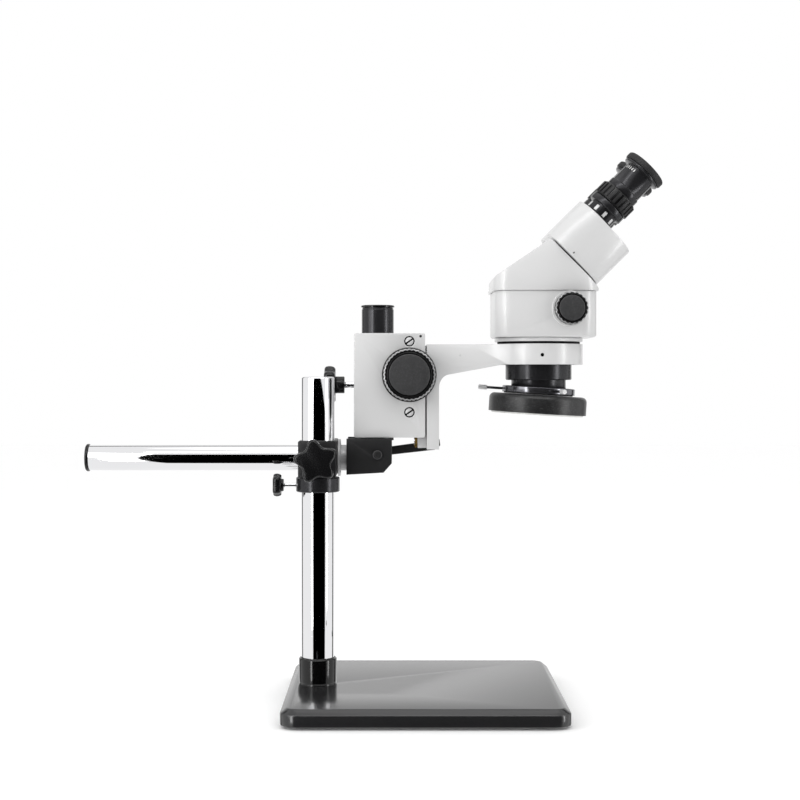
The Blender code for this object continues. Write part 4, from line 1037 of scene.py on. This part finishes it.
@dataclass
class RingLight:
    """Ring light on the objective's nose, leaning a little on its three thumbscrews."""

    stem: float = 27.65             # where a thumbscrew's point meets the nose

    def build(self) -> None:
        """Find the lean from the thumbscrew axes and build along it."""
        point, out = joint("lamp_screw_turn_1")
        up = joint("lamp_screw_turn_2")[1].cross(joint("lamp_screw_turn_3")[1]).normalized()
        self.place = axes(point - out * self.stem * MM, up)
        self.housing()
        self.adapter()
        for number in (1, 2, 3):
            self.thumbscrew(number)

    def housing(self) -> None:
        """Granular housing with a round shoulder, and the frosted ring."""
        outer, bore, low, top, shoulder = 47.9, 30.5, -22.3, -4.4, 5.0
        steps = 10
        arc = [(outer - shoulder + shoulder * math.cos(math.pi / 2.0 * step / steps),
                top - shoulder + shoulder * math.sin(math.pi / 2.0 * step / steps))
               for step in range(steps + 1)]
        profile = [(bore, low), (33.0, low), (33.0, low + 4.5), (45.4, low + 4.5), (45.4, low), (outer, low)]
        publish("ring_light_shell", turned(profile + arc + [(bore, top)], 0.2, 144), self.place, "head",
                GRANULAR,
                ("ring_light_housing",))
        ring = [(33.3, low - 1.5), (45.1, low - 1.5), (45.1, low + 4.2), (33.3, low + 4.2)]
        publish("ring_light_window", turned(ring, 0.3), self.place, "head", FROSTED, ("ring_light_diffuser",))

    def adapter(self) -> None:
        """Ring that carries the thumbscrews, polished on its band."""
        # The neck under the band is painted shade, a dark ring for the shadowed gap
        neck = [(31.0, -4.1), (33.75, -4.1), (33.75, -3.0), (31.0, -3.0)]
        publish("ring_light_adapter_neck", turned(neck, 0.1), self.place, "head", SHADOW,
                ("ring_light_adapter",))
        band = [(31.0, -3.2), (35.75, -3.2), (35.75, 2.5), (34.95, 3.3), (31.0, 3.3)]
        publish("ring_light_adapter_band", turned(band, 0.15, 128), self.place, "head", POLISHED_BLACK)

    def thumbscrew(self, number: int) -> None:
        """Thin dark stem with a bright knurled tip."""
        point, out = joint(f"lamp_screw_turn_{number}")
        place = axes(point, out)
        stem = turned([(0.0, 0.0), (1.3, 0.0), (1.3, 24.0), (0.0, 24.0)], 0.1, 24)
        publish(f"adapter_thumbscrew_{number}_stem", stem, place, f"lamp_screw_{number}", ANODISED,
                (f"adapter_thumbscrew_{number}",))
        outline = lobes(2.15, 0.15, 16, 6)
        tip = domed(outline, [(23.35, 0.8), (23.9, 1.0), (31.3, 1.0), (31.85, 0.8)])
        publish(f"adapter_thumbscrew_{number}_tip", tip, place, f"lamp_screw_{number}", SATIN_METAL)


# Studio -----------------------------------------------------------------------------------------

@dataclass(frozen=True)
class Card:
    """A flag or strip light: a rectangle that faces the object."""

    name: str
    at: Point
    facing: Point
    wide: float
    high: float
    glow: float = 0.0               # zero is a black flag

    def build(self) -> bpy.types.Object:
        """Make the card, which only shows in reflections."""
        mesh = plate(self.wide / MM, self.high / MM, 0.0, 1.0, 0.0)
        turn = Vector(self.facing).to_track_quat("Z", "Y").to_matrix().to_4x4()
        place = Matrix.Translation(self.at) @ turn @ Matrix.Scale(MM, 4)
        bmesh.ops.transform(mesh, matrix=place, verts=mesh.verts)
        data = bpy.data.meshes.new(self.name)
        mesh.to_mesh(data)
        mesh.free()
        material = bpy.data.materials.new(self.name)
        material.use_nodes = True
        tree = material.node_tree
        tree.nodes.clear()
        shine = node(tree, "ShaderNodeEmission",
                     values={"Color": (1.0, 1.0, 1.0, 1.0), "Strength": self.glow})
        output = node(tree, "ShaderNodeOutputMaterial", links={"Surface": shine.outputs[0]})
        output.is_active_output = True
        data.materials.append(material)
        card = bpy.data.objects.new(self.name, data)
        bpy.context.scene.collection.objects.link(card)
        card.visible_camera = card.visible_diffuse = card.visible_shadow = card.visible_transmission = False
        return card


@dataclass
class Studio:
    """Pale floor in a white surround, soft key light, and flags for the chrome."""

    aim: Vector = field(default_factory=lambda: Vector((0.0, 0.02, 0.2)))
    cards: tuple[Card, ...] = (
        Card("front_flag", (0.255, -0.95, -0.07), (0.0, 1.0, 0.0), 1.9, 1.72),
        Card("left_edge_flag", (-1.5, 1.3, 0.25), (1.0, -0.7, 0.0), 0.45, 2.4),
        Card("right_edge_flag", (1.5, 1.3, 0.25), (-1.0, -0.7, 0.0), 0.45, 2.4),
        Card("left_strip", (-0.75, -0.85, 0.3), (0.85, 0.88, 0.0), 0.16, 1.3, 9.0),
        Card("right_strip", (1.25, -0.55, 0.3), (-1.13, 0.58, 0.0), 0.2, 1.3, 8.0),
        Card("top_strip", (0.05, -0.75, 1.25), (0.0, 0.75, -1.0), 1.6, 0.16, 7.0),
        Card("upper_edge_flag", (0.0, 1.3, 1.6), (0.0, -0.7, -1.0), 4.0, 0.35))

    def build(self) -> None:
        """Set the floor, surround, cards, lights and camera."""
        self.floor()
        self.surround()
        for card in self.cards:
            card.build()
        self.soft_box("key", Vector((-1.3, -1.0, 0.8)), 1.0, 7.0)
        self.soft_box("overhead", Vector((0.1, 0.1, 1.6)), 1.2, 3.0)
        self.camera()

    def floor(self) -> None:
        """Broad pale floor under the rubber feet."""
        mesh = plate(12000.0, 12000.0, -4.0, 0.0, 0.0)
        bmesh.ops.transform(mesh, matrix=Matrix.Translation((0.0, 0.0, CAD_BOX[0].z)) @ Matrix.Scale(MM, 4),
                            verts=mesh.verts)
        data = bpy.data.meshes.new("floor")
        mesh.to_mesh(data)
        mesh.free()
        data.materials.append(Finish("pale_floor", "white_enamel", "#FFFFFF", "#FFFFFF", 0.7, 0.03,
                                     relief_mm=0.0, specular=0.1).material())
        floor = bpy.data.objects.new("floor", data)
        bpy.context.scene.collection.objects.link(floor)
        floor.visible_glossy = False

    def surround(self) -> None:
        """Even white world."""
        world = bpy.data.worlds.new("white_surround")
        world.use_nodes = True
        background = world.node_tree.nodes["Background"]
        background.inputs["Color"].default_value = (1.0, 1.0, 1.0, 1.0)
        background.inputs["Strength"].default_value = 1.0
        bpy.context.scene.world = world

    def soft_box(self, name: str, at: Vector, size: float, power: float) -> None:
        """Square area light that faces the object."""
        data = bpy.data.lights.new(name, "AREA")
        data.shape, data.size, data.energy = "SQUARE", size, power
        light = bpy.data.objects.new(name, data)
        turn = (at - self.aim).to_track_quat("Z", "Y").to_matrix().to_4x4()
        light.matrix_world = Matrix.Translation(at) @ turn
        bpy.context.scene.collection.objects.link(light)

    def camera(self) -> None:
        """Level camera in front of the object."""
        data = bpy.data.cameras.new("front")
        data.sensor_width, data.lens = 36.0, 72.0
        data.shift_x, data.shift_y = 0.00625, -0.025
        camera = bpy.data.objects.new("front", data)
        camera.location = (-0.0273, -1.540, 0.2914)
        camera.rotation_euler = (math.radians(90.0), 0.0, 0.0)
        bpy.context.scene.collection.objects.link(camera)
        bpy.context.scene.camera = camera


def main() -> None:
    """Build every sub-assembly and the studio round them."""
    logging.basicConfig(level=logging.INFO)
    for assembly in (Stand(), BoomClamp(), TiltJoint(), FocusDrive(), Head(), Eyepiece(Side.NEAR),
                     Eyepiece(Side.FAR), RingLight(), Studio()):
        assembly.build()
    bpy.context.scene.view_settings.view_transform = "Standard"


if __name__ == "__main__":
    main()
